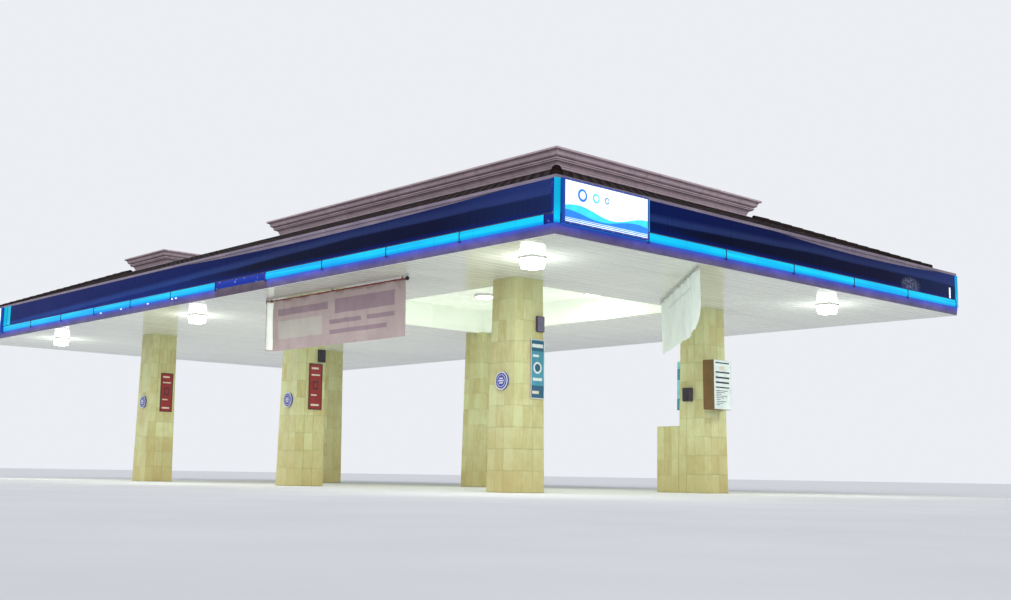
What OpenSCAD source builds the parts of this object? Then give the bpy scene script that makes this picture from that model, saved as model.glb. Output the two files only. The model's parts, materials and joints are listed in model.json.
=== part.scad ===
// Filling station canopy: flat soffit on six battered stone-clad columns, illuminated fascia,
// low hipped roof behind the coping, and two crown-moulded cornices on the roof deck.
// +X runs along the long front face, +Y towards the back, the ground is z = 0.

/* [Canopy] */
// Length of the canopy, along the front face
canopy_l = 32000; // [28000:10:36000]
// Width of the canopy, along the right face
canopy_w = 16450; // [15000:10:20000]
// Light modules along the long faces
modules_x = 12; // [10:1:14]
// Light modules along the short faces
modules_y = 6; // [5:1:8]
// Clear height under the soffit
clear_h = 5200; // [4500:50:6000]
// Thickness of the soffit panels
soffit_t = 60; // [30:5:100]

/* [Fascia] */
// Height of the base trim under the light strip
trim_h = 230; // [120:10:300]
// Height of the light strip
strip_h = 200; // [120:10:260]
// Height of the fascia from the soffit to the top of the coping
fascia_h = 1220; // [1000:10:1600]
// Height of the nose on the coping
nose_h = 70; // [40:5:120]
// Thickness of the blue fascia sheets
sheet_t = 25; // [15:1:40]
// Depth from the sheet face to the edge beam
beam_setback = 60; // [45:5:100]
// Width of the edge beams
beam_w = 300; // [260:10:360]
// Depth of the coping from the sheet face to its back
coping_d = 300; // [280:10:400]
// Lowest point of the sag in the top edge of the sheets
sheet_sag = 110; // [20:5:150]
// Where the sag of the long sheets starts, from their right end
sag_start_x = 1300; // [400:50:3000]
// Length of the sag in the long sheets
sag_len_x = 14700; // [8000:50:18000]
// Where the sag of the short sheets starts, from their right end
sag_start_y = 800; // [400:50:2000]
// Length of the sag in the short sheets
sag_len_y = 8200; // [5000:50:10000]
// How far the light strip stands in front of the sheets
strip_proud = 20; // [5:1:40]
// Gap between two lights in a strip
strip_gap = 24; // [10:2:60]
// Length of the dark closing piece at the right end of a long strip
strip_end = 200; // [100:10:400]
// Side of the square light at each corner
post_w = 110; // [80:5:160]

/* [Signs] */
// Length of a sign box
sign_w = 2580; // [1800:20:3000]
// Depth of a sign box in front of the sheets
sign_d = 100; // [60:5:150]
// Width of the frame around a sign face
sign_rim = 30; // [15:1:60]
// How far a sign face stands in front of its frame
sign_face_proud = 8; // [4:1:20]
// Width of the upright light beside the sign of a short face
upright_w = 100; // [50:5:140]
// Width of each of the two upright lights beside the sign of a long face
upright_pair_w = 260; // [100:10:320]

/* [Columns] */
// Width of a column top along the long face
col_x = 800; // [600:10:1000]
// Width of a column top along the short face
col_y = 900; // [600:10:1100]
// Slope of each column face, measured as the widening on each side at the ground
batter = 60; // [20:5:100]
// Distance from the right face to the centre of the first columns
first_col_x = 4840; // [4000:20:5400]
// Distance from the front face to the centre of the front columns
first_col_y = 3530; // [3000:10:4000]
// Distance between column centres along the long face
bay_x = 9430; // [8800:10:9800]
// Distance between the two rows of columns
bay_y = 7260; // [6600:20:7600]
// Length of the low pier beside one column
pier_l = 790; // [500:10:1200]
// Height of the low pier
pier_h = 1850; // [1200:10:2400]

/* [Recess] */
// Distance from the column centre lines to the sides of the recess
recess_inset = 260; // [200:10:380]
// Height of the recess above the soffit
recess_h = 760; // [500:10:820]
// Thickness of the recess walls
recess_t = 60; // [40:5:100]

/* [Roof] */
// Rise of the roof slopes
roof_rise = 1170; // [800:10:1400]
// Plan depth of the front and right slopes; the other two fall from the cornices
roof_run = 2850; // [2400:10:3200]
// Thickness of the roof slopes, measured upright
roof_t = 130; // [80:5:200]
// Width of the flat seat of a slope on the edge beam
roof_seat = 50; // [30:5:60]
// Radius of the rolls on the hips
hip_r = 100; // [60:5:160]

/* [Cornices] */
// Length of the large cornice block along the long face, at its foot
large_x = 12000; // [10000:20:12600]
// Width of the large cornice block, at its foot
large_y = 7400; // [6000:20:8200]
// Length of the small cornice block, at its foot
small_x = 2430; // [1800:10:3000]
// Width of the small cornice block, at its foot
small_y = 7400; // [2000:20:8200]
// Distance between the large and the small block
block_gap = 7280; // [5600:20:7400]
// Height of the cornice blocks
crown_h = 460; // [340:10:600]
// How far the crown moulding stands out at the top
crown_out = 300; // [200:5:360]
// Depth of the tray inside the top of a block
tray_d = 60; // [30:5:120]

/* [Lamps] */
// Side of a square soffit lamp
lamp_w = 460; // [380:10:640]
// Depth of the lamp frame under the soffit
lamp_frame_h = 40; // [30:5:80]
// Depth of the drop lens under the frame
lens_drop = 230; // [120:5:280]
// Distance from the fascia to the lamp centres
lamp_edge = 1500; // [800:10:1800]
// Radius of the round recess lamp
dome_r = 330; // [240:10:420]

/* [Banners] */
// Length of a banner
banner_w = 6300; // [4800:50:6600]
// Height of a banner
banner_h = 1370; // [1000:10:1600]
// Thickness of a banner
banner_t = 12; // [8:1:20]
// Side of the square rail a banner hangs from
rail_w = 40; // [30:1:50]
// Distance from the front face to the front banner
banner_setback = 1280; // [1000:20:1600]
// Distance from the right face to the near end of the front banner
banner_inset = 6450; // [5600:10:8000]
// Length of the side banner
side_banner_w = 5750; // [4800:50:6100]
// Distance from the right face to the middle of the side banner
side_banner_x = 2420; // [2400:10:2700]
// Distance from the front face to the middle of the side banner
side_banner_y = 6760; // [6400:10:7000]
// Angle between the side banner and the front face
side_banner_turn = 41.5; // [38:0.5:45]

/* [Fittings] */
// Width of the narrow boards on the columns
board_w = 460; // [300:10:600]
// Height of the boards on the columns
board_h = 1370; // [900:10:1500]
// Height of the poster board on the front right column
poster_h = 1450; // [900:10:1600]
// Thickness of the narrow boards
board_t = 30; // [20:5:60]
// Width of the deep board box on the back right column
price_w = 780; // [500:10:800]
// Depth of the deep board box
price_d = 380; // [200:10:420]
// Thickness of the board on the left of the back right column
left_board_t = 130; // [60:5:200]
// Radius of the round plaques
plaque_r = 220; // [120:5:280]
// Width of a speaker
speaker_w = 240; // [160:10:300]
// Height of a speaker
speaker_h = 380; // [240:10:420]
// Depth of the two flat speakers
speaker_d = 70; // [50:5:200]
// Depth of the low speaker
low_speaker_d = 180; // [100:5:260]

/* [Hidden] */
$fn = 64;
length = canopy_l;
width = canopy_w;
soffit_z = clear_h;
strip_z = soffit_z + trim_h;
sheet_z = strip_z + strip_h;
top_z = soffit_z + fascia_h;
nose_z = top_z - nose_h;
cap_h = 60;
beam_top = top_z - cap_h;
band_lap = 40;
band_z = nose_z - sheet_sag - band_lap;
deck_z = beam_top + roof_rise;
col_cx = [for (i = [0:2]) length / 2 - first_col_x - i * bay_x];
col_cy = [for (j = [0:1]) -width / 2 + first_col_y + j * bay_y];
recess_x = [col_cx[1] + recess_inset, col_cx[0] - recess_inset];
recess_y = [col_cy[0] + recess_inset, col_cy[1] - recess_inset];
trim_in = 20;
trim_upright = 70;
flange_h = 30;
large_c = [length / 2 - roof_run - large_x / 2, -width / 2 + roof_run + large_y / 2];
small_c = [large_c[0] - large_x / 2 - block_gap - small_x / 2, -width / 2 + roof_run + small_y / 2];
roof_runs = [roof_run, roof_run, width - roof_run - max(large_y, small_y),
             length - roof_run - large_x - block_gap - small_x];
hip_lift = 20;
sign_gap = 10;
upright_gap = 40;
board_z = 2260;
high_board_z = 2450;
price_z = 2320;
board_off = 150;
poster_off = 260;
price_off = -130;
plaque_z = [2670, 2530, 2780];
plaque_off = 30;
speaker_z = [3900, 3690];
low_speaker_z = 2550;
low_speaker_off = -80;
rail_drop = 80;
rail_over = 50;
strap_w = 30;
strap_in = 200;
lens_inset = 15;
lens_taper = 35;
lamp_back = 40;
dome_rim_h = 90;
dome_rim_w = 60;
dome_bevel_w = 30;
dome_bevel_h = 20;
dome_drop = 70;
dome_left_x = 1550;
dome_left_y = 820;
dome_right_x = 1300;
dome_right_y = 650;

// Sides are numbered 0 front, 1 right, 2 back, 3 left. A side is drawn as if it were the front
// one: x runs along it, y = 0 is the outer face, and positive y goes inwards.
function side_len(s) = s % 2 == 0 ? length : width;
function side_depth(s) = s % 2 == 0 ? width : length;
function side_modules(s) = s % 2 == 0 ? modules_x : modules_y;

module on_side(s) {
    rotate([0, 0, 90 * s]) translate([0, -side_depth(s) / 2, 0]) children();
}

// Extrudes a profile, drawn as inward distance and height, along x.
module along_x(run) {
    rotate([90, 0, 90]) linear_extrude(run, center = true) children();
}

// One side of a mitred ring, for a profile between inward distances d0 and d1.
module mitred(run, d0, d1, z0, z1) {
    intersection() {
        along_x(run + 2 * abs(d0) + 2) children();
        translate([0, 0, z0]) linear_extrude(z1 - z0)
            polygon([[-run / 2 + d0, d0], [run / 2 - d0, d0], [run / 2 - d1, d1], [-run / 2 + d1, d1]]);
    }
}

// Columns and pier

// A block whose four faces lean in by the same amount, exact on all sides.
module battered_block(top_x, top_y, widen, h) {
    intersection() {
        rotate([90, 0, 0]) linear_extrude(top_y + 4 * widen, center = true)
            polygon([[-top_x / 2 - widen, 0], [top_x / 2 + widen, 0], [top_x / 2, h], [-top_x / 2, h]]);
        rotate([90, 0, 90]) linear_extrude(top_x + 4 * widen, center = true)
            polygon([[-top_y / 2 - widen, 0], [top_y / 2 + widen, 0], [top_y / 2, h], [-top_y / 2, h]]);
    }
}

module column(i, j) {
    color("darkkhaki") translate([col_cx[i], col_cy[j], 0]) battered_block(col_x, col_y, batter, clear_h);
}

// The low pier closes on the leaning left face of the back right column.
module low_pier() {
    rise = batter * pier_h / clear_h;
    x1 = col_cx[0] - col_x / 2 - batter;
    color("darkkhaki") translate([0, col_cy[1] + col_y / 2 + batter, 0])
        rotate([90, 0, 0]) linear_extrude(col_y + 2 * batter)
            polygon([[x1 - pier_l, 0], [x1, 0], [x1 + rise, pier_h], [x1 - pier_l, pier_h]]);
}

// Soffit and recess

module soffit_plate(x0, x1, y0, y1) {
    color("whitesmoke") translate([x0, y0, soffit_z]) cube([x1 - x0, y1 - y0, soffit_t]);
}

module soffit_front() {
    x = length / 2 - beam_setback;
    soffit_plate(-x, x, -width / 2 + beam_setback, recess_y[0]);
}

module soffit_back() {
    x = length / 2 - beam_setback;
    soffit_plate(-x, x, recess_y[1], width / 2 - beam_setback);
}

module soffit_left() {
    soffit_plate(-length / 2 + beam_setback, recess_x[0], recess_y[0], recess_y[1]);
}

module soffit_right() {
    soffit_plate(recess_x[1], length / 2 - beam_setback, recess_y[0], recess_y[1]);
}

// Walls of the recess stand on the soffit plates around the opening.
module recess_wall_x(y0) {
    color("honeydew") translate([recess_x[0] - recess_t, y0, soffit_z + soffit_t])
        cube([recess_x[1] - recess_x[0] + 2 * recess_t, recess_t, recess_h - soffit_t]);
}

module recess_wall_y(x0) {
    color("honeydew") translate([x0, recess_y[0], soffit_z + soffit_t])
        cube([recess_t, recess_y[1] - recess_y[0], recess_h - soffit_t]);
}

module recess_ceiling() {
    color("honeydew") translate([recess_x[0] - recess_t, recess_y[0] - recess_t, soffit_z + recess_h])
        cube([recess_x[1] - recess_x[0] + 2 * recess_t, recess_y[1] - recess_y[0] + 2 * recess_t, recess_t]);
}

// Edge beams, trim, fascia sheets and coping

module edge_beam(s) {
    d0 = beam_setback;
    d1 = beam_setback + beam_w;
    z0 = soffit_z + soffit_t;
    color("dimgray") on_side(s) mitred(side_len(s), d0, d1, z0, beam_top)
        translate([d0, z0]) square([beam_w, beam_top - z0]);
}

// Folded flashing: upright at the top, leaning in towards the soffit below.
module base_trim() {
    color("slateblue") for (s = [0:3])
        on_side(s) mitred(side_len(s), 0, beam_setback, soffit_z, strip_z)
            polygon([[trim_in, soffit_z], [beam_setback, soffit_z], [beam_setback, strip_z],
                     [0, strip_z], [0, strip_z - trim_upright]]);
}

// A sheet whose top edge sags in one shallow arc between two points of its length.
module fascia(s) {
    run = side_len(s);
    x0 = -run / 2 + post_w;
    x1 = run / 2 - post_w;
    b = run / 2 - (s % 2 == 0 ? sag_start_x : sag_start_y);
    a = b - (s % 2 == 0 ? sag_len_x : sag_len_y);
    steps = 24;
    color("midnightblue") on_side(s) {
        translate([0, sheet_t, 0]) rotate([90, 0, 0]) linear_extrude(sheet_t)
            polygon(concat([[x0, sheet_z], [x1, sheet_z], [x1, nose_z]],
                [for (k = [0:steps]) let (t = k / steps, x = b + (a - b) * t)
                    [x, nose_z - sheet_sag * 4 * t * (1 - t)]],
                [[x0, nose_z]]));
        translate([x0, sheet_t, sheet_z]) cube([x1 - x0, beam_setback - sheet_t, flange_h]);
    }
}

module coping() {
    color("rosybrown") for (s = [0:3])
        on_side(s) mitred(side_len(s), 0, coping_d, band_z, top_z)
            polygon([[sheet_t, band_z], [beam_setback, band_z], [beam_setback, beam_top],
                     [coping_d, beam_top], [coping_d, top_z], [0, top_z], [0, nose_z], [sheet_t, nose_z]]);
}

// Lights

// Cross-section of a strip light: a flat back and a rounded front.
module strip_section() {
    r = strip_h / 2;
    bulge = strip_proud;
    polygon(concat([[beam_setback, strip_z], [beam_setback, strip_z + strip_h]],
        [for (k = [0:8]) let (a = 90 - k * 22.5) [-bulge * cos(a), strip_z + r + r * sin(a)]]));
}

// Rows of strip lights with a light of angle section at each corner, and upright lights by the signs:
// two by each sign of a long face, one by each sign of a short face. The rows of the long faces
// stop short at their right ends, where a dark piece of the same section closes them.
function row_end(s) = s % 2 == 0 ? strip_end : 0;
function light_pitch(s) = (side_len(s) - 2 * post_w - row_end(s)) / side_modules(s);

module light_strips() {
    side = post_w + strip_proud;
    wall = sheet_t + strip_proud;
    color("deepskyblue") for (s = [0:3]) {
        run = side_len(s);
        pitch = light_pitch(s);
        up_w = s % 2 == 0 ? upright_pair_w : upright_w;
        up_x = -run / 2 + post_w + sign_gap + sign_w + upright_gap;
        on_side(s) {
            for (k = [0:side_modules(s) - 1])
                translate([-run / 2 + post_w + (k + 0.5) * pitch, 0, 0])
                    along_x(pitch - strip_gap) strip_section();
            if (row_end(s) > 0)
                translate([run / 2 - post_w - row_end(s) / 2, 0, 0])
                    along_x(row_end(s) - strip_gap) strip_section();
            translate([run / 2 + strip_proud, -strip_proud, strip_z])
                linear_extrude(nose_z - strip_z)
                    polygon([[0, 0], [0, side], [-wall, side], [-wall, wall], [-side, wall], [-side, 0]]);
            for (k = [0:1 - s % 2])
                translate([up_x + k * (up_w + 2 * upright_gap), -strip_proud, sheet_z + strip_gap])
                    cube([up_w, strip_proud, nose_z - sheet_z - strip_gap]);
        }
    }
}

// Signs: a sign box stands at the viewer's left end of each face.

module at_sign(s) {
    on_side(s) translate([-side_len(s) / 2 + post_w + sign_gap, -sign_d, strip_z]) children();
}

module sign_boxes() {
    h = nose_z - strip_z;
    color("silver") for (s = [0:3])
        at_sign(s) difference() {
            cube([sign_w, sign_d - strip_proud, h]);
            translate([sign_rim, -1, sign_rim])
                cube([sign_w - 2 * sign_rim, sign_d / 2 + 1, h - 2 * sign_rim]);
        }
}

module sign_faces() {
    h = nose_z - strip_z;
    color("white") for (s = [0:3])
        at_sign(s) translate([sign_rim, -sign_face_proud, sign_rim])
            cube([sign_w - 2 * sign_rim, sign_d / 2 + sign_face_proud, h - 2 * sign_rim]);
}

// Roof

// The slopes have one rise and a plan depth for each side: the deck is just as large as the cornice
// blocks need. The hips run where two slopes come to the same height.
function eave_z(s) = beam_top + roof_rise * (coping_d - beam_setback) / (roof_runs[s] - beam_setback);

// A slope rests on the edge beam behind the coping and rises to the deck.
module roof_slope(s) {
    e = beam_setback;
    d0 = coping_d;
    d1 = roof_runs[s];
    run = side_len(s);
    color("saddlebrown") on_side(s) intersection() {
        along_x(run) polygon([[d0, eave_z(s)], [d1, deck_z], [d1, deck_z - roof_t],
                              [d0 + roof_seat, beam_top], [d0, beam_top]]);
        translate([0, 0, beam_top - 1]) linear_extrude(roof_rise + 2) intersection() {
            polygon([[-run / 2 + e, e], [run / 2 - e, e],
                     [run / 2 - roof_runs[(s + 1) % 4], d1], [-run / 2 + roof_runs[(s + 3) % 4], d1]]);
            translate([-run / 2 + d0, d0]) square([run - 2 * d0, d1 - d0]);
        }
    }
}

module roof_deck() {
    color("dimgray") translate([-length / 2 + roof_runs[3], -width / 2 + roof_runs[0], deck_z - roof_t])
        cube([length - roof_runs[1] - roof_runs[3], width - roof_runs[0] - roof_runs[2], roof_t]);
}

// All that lies under the four slopes and the deck, as one convex solid.
module under_roof() {
    low = beam_top - 2 * hip_r;
    intersection_for(s = [0:3]) on_side(s) along_x(side_len(s))
        polygon([[coping_d, low], [coping_d, eave_z(s)], [roof_runs[s], deck_z],
                 [side_depth(s) - coping_d, deck_z], [side_depth(s) - coping_d, low]]);
}

// Round rolls bedded on the four hips, from just behind the coping to the deck.
module hip_rolls() {
    e = beam_setback;
    color("maroon") difference() {
        for (sx = [-1, 1], sy = [-1, 1]) {
            r = [roof_runs[sx > 0 ? 1 : 3] - e, roof_runs[sy > 0 ? 2 : 0] - e];
            t = (coping_d + hip_r - e) / min(r[0], r[1]);
            v = [-sx * r[0], -sy * r[1], roof_rise];
            translate([sx * (length / 2 - e), sy * (width / 2 - e), beam_top + hip_lift] + t * v)
                rotate([0, acos(v[2] / norm(v)), atan2(v[1], v[0])])
                    cylinder(r = hip_r, h = norm(v) * (1 - t) - 2 * hip_r);
        }
        under_roof();
    }
}

// Cornices

// Crown moulding from the foot up: frieze, cove, fillet, bead between two quirks, cyma and lip.
// Every number is a share of how far the moulding stands out, or of its height.
function crown_shares() = concat(
    [[0, 0], [0, 0.2], [0.05, 0.2]],
    [for (k = [1:6]) let (a = 15 * k) [0.05 + 0.33 * (1 - cos(a)), 0.2 + 0.22 * sin(a)]],
    [[0.44, 0.42], [0.44, 0.46], [0.38, 0.46], [0.38, 0.49], [0.46, 0.49]],
    [for (k = [1:5]) let (a = 30 * k - 90) [0.46 + 0.05 * cos(a), 0.535 + 0.045 * sin(a)]],
    [[0.46, 0.58], [0.41, 0.58], [0.41, 0.61], [0.52, 0.61]],
    [for (k = [1:5]) let (a = 18 * k) [0.52 + 0.2 * sin(a), 0.61 + 0.14 * (1 - cos(a))]],
    [for (k = [1:5]) let (a = 18 * k) [0.72 + 0.2 * (1 - cos(a)), 0.75 + 0.14 * sin(a)]],
    [[0.92, 0.91], [1, 0.91], [1, 1]]);

// A closed block with a mitred crown on its four sides and a shallow tray in its top.
module crowned_block(x, y) {
    rim = crown_out;
    lap = 1;
    for (s = [0:3]) {
        run = s % 2 == 0 ? x : y;
        depth = s % 2 == 0 ? y : x;
        rotate([0, 0, 90 * s]) translate([0, -depth / 2, 0])
            mitred(run, -crown_out, rim, 0, crown_h)
                polygon(concat([[rim, 0]],
                    [for (p = crown_shares()) [-p[0] * crown_out, p[1] * crown_h]],
                    [[rim, crown_h]]));
    }
    translate([-x / 2 + rim - lap, -y / 2 + rim - lap, 0])
        cube([x - 2 * (rim - lap), y - 2 * (rim - lap), crown_h - tray_d]);
}

module cornice_large() {
    color("tan") translate([large_c[0], large_c[1], deck_z]) crowned_block(large_x, large_y);
}

module cornice_small() {
    color("tan") translate([small_c[0], small_c[1], deck_z]) crowned_block(small_x, small_y);
}

// Lamps: square ones near the edges of the soffit, counted in light modules from the right end of
// a face, and round ones on the ceiling of the recess.

function side_lamps(s) = s == 0 ? [0.8, 6.5, 10.4] : [side_modules(s) - 4.4];

module at_edge_lamps() {
    for (s = [0, 1])
        on_side(s) for (m = side_lamps(s))
            translate([side_len(s) / 2 - post_w - m * light_pitch(s), lamp_edge, soffit_z]) children();
}

module at_recess_lamps() {
    cx = (recess_x[0] + recess_x[1]) / 2;
    cy = (recess_y[0] + recess_y[1]) / 2;
    z = soffit_z + recess_h;
    translate([cx - dome_left_x, cy + dome_left_y, z]) children();
    translate([cx + dome_right_x, recess_y[1] - dome_right_y, z]) children();
}

module lamp_frames() {
    r = dome_r - dome_rim_w;
    color("gainsboro") {
        at_edge_lamps() translate([-lamp_w / 2, -lamp_w / 2, -lamp_frame_h])
            cube([lamp_w, lamp_w, lamp_frame_h]);
        at_recess_lamps() rotate_extrude()
            polygon([[0, 0], [dome_r, 0], [dome_r, dome_bevel_h - dome_rim_h],
                     [dome_r - dome_bevel_w, -dome_rim_h], [r, -dome_rim_h], [r, -lamp_back],
                     [0, -lamp_back]]);
    }
}

// Drop lenses taper on the square lamps and are shallow domes on the round ones.
module lamp_lenses() {
    w = lamp_w - 2 * (lens_inset + lens_taper);
    r = dome_r - dome_rim_w;
    color("lightyellow") {
        at_edge_lamps() translate([0, 0, -lamp_frame_h]) rotate([180, 0, 0])
            battered_block(w, w, lens_taper, lens_drop);
        at_recess_lamps() translate([0, 0, -lamp_back]) rotate_extrude()
            polygon(concat([[0, 0], [r, 0]],
                [for (k = [0:6]) let (a = 15 * k) [r * cos(a), -lamp_back - dome_drop * sin(a)]]));
    }
}

// Banners hang from rails that are strapped to the soffit.

module at_front_banner() {
    translate([length / 2 - banner_inset - banner_w / 2, -width / 2 + banner_setback, 0]) children();
}

module at_side_banner() {
    translate([length / 2 - side_banner_x, -width / 2 + side_banner_y, 0])
        rotate([0, 0, 180 - side_banner_turn]) children();
}

module banner_rail(w) {
    l = w + 2 * rail_over;
    translate([-l / 2, -rail_w / 2, soffit_z - rail_drop]) cube([l, rail_w, rail_w]);
    for (k = [-1, 0, 1])
        translate([k * (l / 2 - strap_in) - strap_w / 2, -rail_w / 2, soffit_z - rail_drop])
            cube([strap_w, rail_w, rail_drop]);
}

module banner(w) {
    translate([-w / 2, -banner_t / 2, soffit_z - rail_drop - banner_h]) cube([w, banner_t, banner_h]);
}

module banner_rails() {
    color("gray") {
        at_front_banner() banner_rail(banner_w);
        at_side_banner() banner_rail(side_banner_w);
    }
}

module banner_front() {
    color("mistyrose") at_front_banner() banner(banner_w);
}

module banner_side() {
    color("white") at_side_banner() banner(side_banner_w);
}

// Fittings on the columns are cut to sit flat against the leaning faces.

function lean(z) = batter * (1 - z / clear_h);

// A board on a side face of a column: side 1 right, -1 left, and off from its centre line.
module side_board(i, j, side, off, w, h, z, d) {
    f = [for (e = [z, z + h]) col_x / 2 + lean(e)];
    translate([col_cx[i], col_cy[j] + off + w / 2, 0]) mirror([side < 0 ? 1 : 0, 0, 0])
        rotate([90, 0, 0]) linear_extrude(w)
            polygon([[f[0], z], [f[0] + d, z], [f[1] + d, z + h], [f[1], z + h]]);
}

module column_boards() {
    color("firebrick") {
        side_board(2, 0, 1, board_off, board_w, board_h, high_board_z, board_t);
        side_board(1, 0, 1, board_off, board_w, board_h, board_z, board_t);
        side_board(0, 0, 1, poster_off, board_w, poster_h, board_z, board_t);
        side_board(0, 1, 1, price_off, price_w, board_h, price_z, price_d);
        side_board(0, 1, -1, 0, price_w, board_h, price_z, left_board_t);
    }
}

module round_plaques() {
    color("royalblue") for (i = [0:2]) difference() {
        y = col_cy[0] - col_y / 2 - lean(plaque_z[i] + plaque_r);
        translate([col_cx[i] + plaque_off, y, plaque_z[i]]) rotate([90, 0, 0])
            cylinder(r = plaque_r, h = board_t + batter / 2);
        column(i, 0);
    }
}

module speakers() {
    color("dimgray") {
        for (i = [0, 1]) let (z = speaker_z[i]) difference() {
            translate([col_cx[i] + col_x / 2, col_cy[0] + col_y / 2 - speaker_w, z])
                cube([lean(z) + speaker_d, speaker_w, speaker_h]);
            column(i, 0);
        }
        let (z = low_speaker_z, d = lean(low_speaker_z) + low_speaker_d) difference() {
            translate([col_cx[0] + low_speaker_off - speaker_w / 2, col_cy[1] - col_y / 2 - d, z])
                cube([speaker_w, d, speaker_h]);
            column(0, 1);
        }
    }
}

column(0, 0);  // column_front_right
column(1, 0);  // column_front_middle
column(2, 0);  // column_front_left
column(0, 1);  // column_back_right
column(1, 1);  // column_back_middle
column(2, 1);  // column_back_left
low_pier();
soffit_front();
soffit_back();
soffit_left();
soffit_right();
recess_wall_x(recess_y[0] - recess_t);  // recess_wall_front
recess_wall_x(recess_y[1]);  // recess_wall_back
recess_wall_y(recess_x[0] - recess_t);  // recess_wall_left
recess_wall_y(recess_x[1]);  // recess_wall_right
recess_ceiling();
edge_beam(0);  // edge_beam_front
edge_beam(1);  // edge_beam_right
edge_beam(2);  // edge_beam_back
edge_beam(3);  // edge_beam_left
base_trim();
fascia(0);  // fascia_front
fascia(1);  // fascia_right
fascia(2);  // fascia_back
fascia(3);  // fascia_left
coping();
light_strips();
sign_boxes();
sign_faces();
roof_slope(0);  // roof_front
roof_slope(1);  // roof_right
roof_slope(2);  // roof_back
roof_slope(3);  // roof_left
roof_deck();
hip_rolls();
cornice_large();
cornice_small();
lamp_frames();
lamp_lenses();
banner_rails();
banner_front();
banner_side();
column_boards();
round_plaques();
speakers();
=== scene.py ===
import json
import random
from math import cos, hypot, pi, radians, sin

import bmesh
import bpy
from mathutils import Matrix, Vector

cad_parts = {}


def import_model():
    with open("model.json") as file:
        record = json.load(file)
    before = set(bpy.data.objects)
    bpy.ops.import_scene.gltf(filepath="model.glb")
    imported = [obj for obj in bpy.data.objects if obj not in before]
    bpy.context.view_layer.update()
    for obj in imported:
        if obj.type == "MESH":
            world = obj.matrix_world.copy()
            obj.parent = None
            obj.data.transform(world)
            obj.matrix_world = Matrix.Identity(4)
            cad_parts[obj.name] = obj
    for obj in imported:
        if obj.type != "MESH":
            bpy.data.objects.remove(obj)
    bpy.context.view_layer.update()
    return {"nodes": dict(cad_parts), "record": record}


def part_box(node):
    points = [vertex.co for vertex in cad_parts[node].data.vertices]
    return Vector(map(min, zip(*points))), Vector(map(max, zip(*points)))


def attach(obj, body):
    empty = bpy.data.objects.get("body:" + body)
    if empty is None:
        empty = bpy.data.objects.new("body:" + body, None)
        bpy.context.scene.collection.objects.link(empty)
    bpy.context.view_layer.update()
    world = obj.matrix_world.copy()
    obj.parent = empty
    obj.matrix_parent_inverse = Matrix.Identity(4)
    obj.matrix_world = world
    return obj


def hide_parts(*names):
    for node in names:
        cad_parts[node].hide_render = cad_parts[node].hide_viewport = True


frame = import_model()
scene = bpy.context.scene
random.seed(7)
slot_of = {s["node"]: s["material_slot"] for s in frame["record"]["subparts"]}
nodes = frame["nodes"]


def box(name):
    lo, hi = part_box(name)
    return Vector(lo), Vector(hi)


# Main places, taken from the frame so that the looks follow it.
(XL, YF, _), (XR, YB, TOP) = box("coping")
SOFFIT, STRIP = (p.z for p in box("base_trim"))
SHEET = box("fascia_front")[0].z
NOSE = box("light_strips")[1].z
DECK = box("cornice_large")[0].z
CROWN = box("cornice_large")[1].z - DECK
RECESS = box("recess_ceiling")[0].z
RX0, RX1 = box("soffit_left")[1].x, box("soffit_right")[0].x
RY0, RY1 = box("soffit_front")[1].y, box("soffit_back")[0].y
deck_lo, deck_hi = box("roof_deck")
# Plan depth of the slope on each side: front, right, back, left.
RUNS = (deck_lo.y - YF, XR - deck_hi.x, YB - deck_hi.y, deck_lo.x - XL)
COLUMNS = sorted(n for n in nodes if n.startswith(("column_front", "column_back")))

# Light modules on a long side and on a short one, and the gap at the right end of their row.
MODULES = (12, 6)
ROW_END = (0.20, 0.0)
# Sizes of the construction that the looks repeat, in metres.
SETBACK = 0.06
EAVE = TOP - 0.06
BATTER = 0.06
POST = 0.11
SIGN_W = 2.58
SIGN_RIM = 0.03
BOARD_H = 1.37
SPEAKER_W, SPEAKER_H = 0.24, 0.38
BANNER_H = 1.37
RAIL_Z = SOFFIT - 0.06


# Materials

def srgb(r, g, b):
    """The linear colour of a screen colour of 0 to 255."""
    def f(c):
        c /= 255
        return c / 12.92 if c <= 0.04045 else ((c + 0.055) / 1.055) ** 2.4
    return (f(r), f(g), f(b), 1.0)


class Graph:
    """Short names for the nodes of one tree."""

    def __init__(self, tree):
        self.t = tree

    def node(self, kind, **settings):
        n = self.t.nodes.new(kind)
        for k, v in settings.items():
            setattr(n, k, v)
        return n

    def put(self, sock, v):
        if isinstance(v, bpy.types.NodeSocket):
            self.t.links.new(v, sock)
        else:
            sock.default_value = v

    def math(self, op, *values, clamp=False):
        n = self.node("ShaderNodeMath", operation=op, use_clamp=clamp)
        for sock, v in zip(n.inputs, values):
            self.put(sock, v)
        return n.outputs[0]

    def add(self, a, b):
        return self.math("ADD", a, b)

    def sub(self, a, b, clamp=False):
        return self.math("SUBTRACT", a, b, clamp=clamp)

    def mul(self, a, b):
        return self.math("MULTIPLY", a, b)

    def line(self, a, slope, rise, clamp=False):
        return self.math("MULTIPLY_ADD", a, slope, rise, clamp=clamp)

    def more(self, a, b):
        return self.math("GREATER_THAN", a, b)

    def less(self, a, b):
        return self.math("LESS_THAN", a, b)


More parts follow.
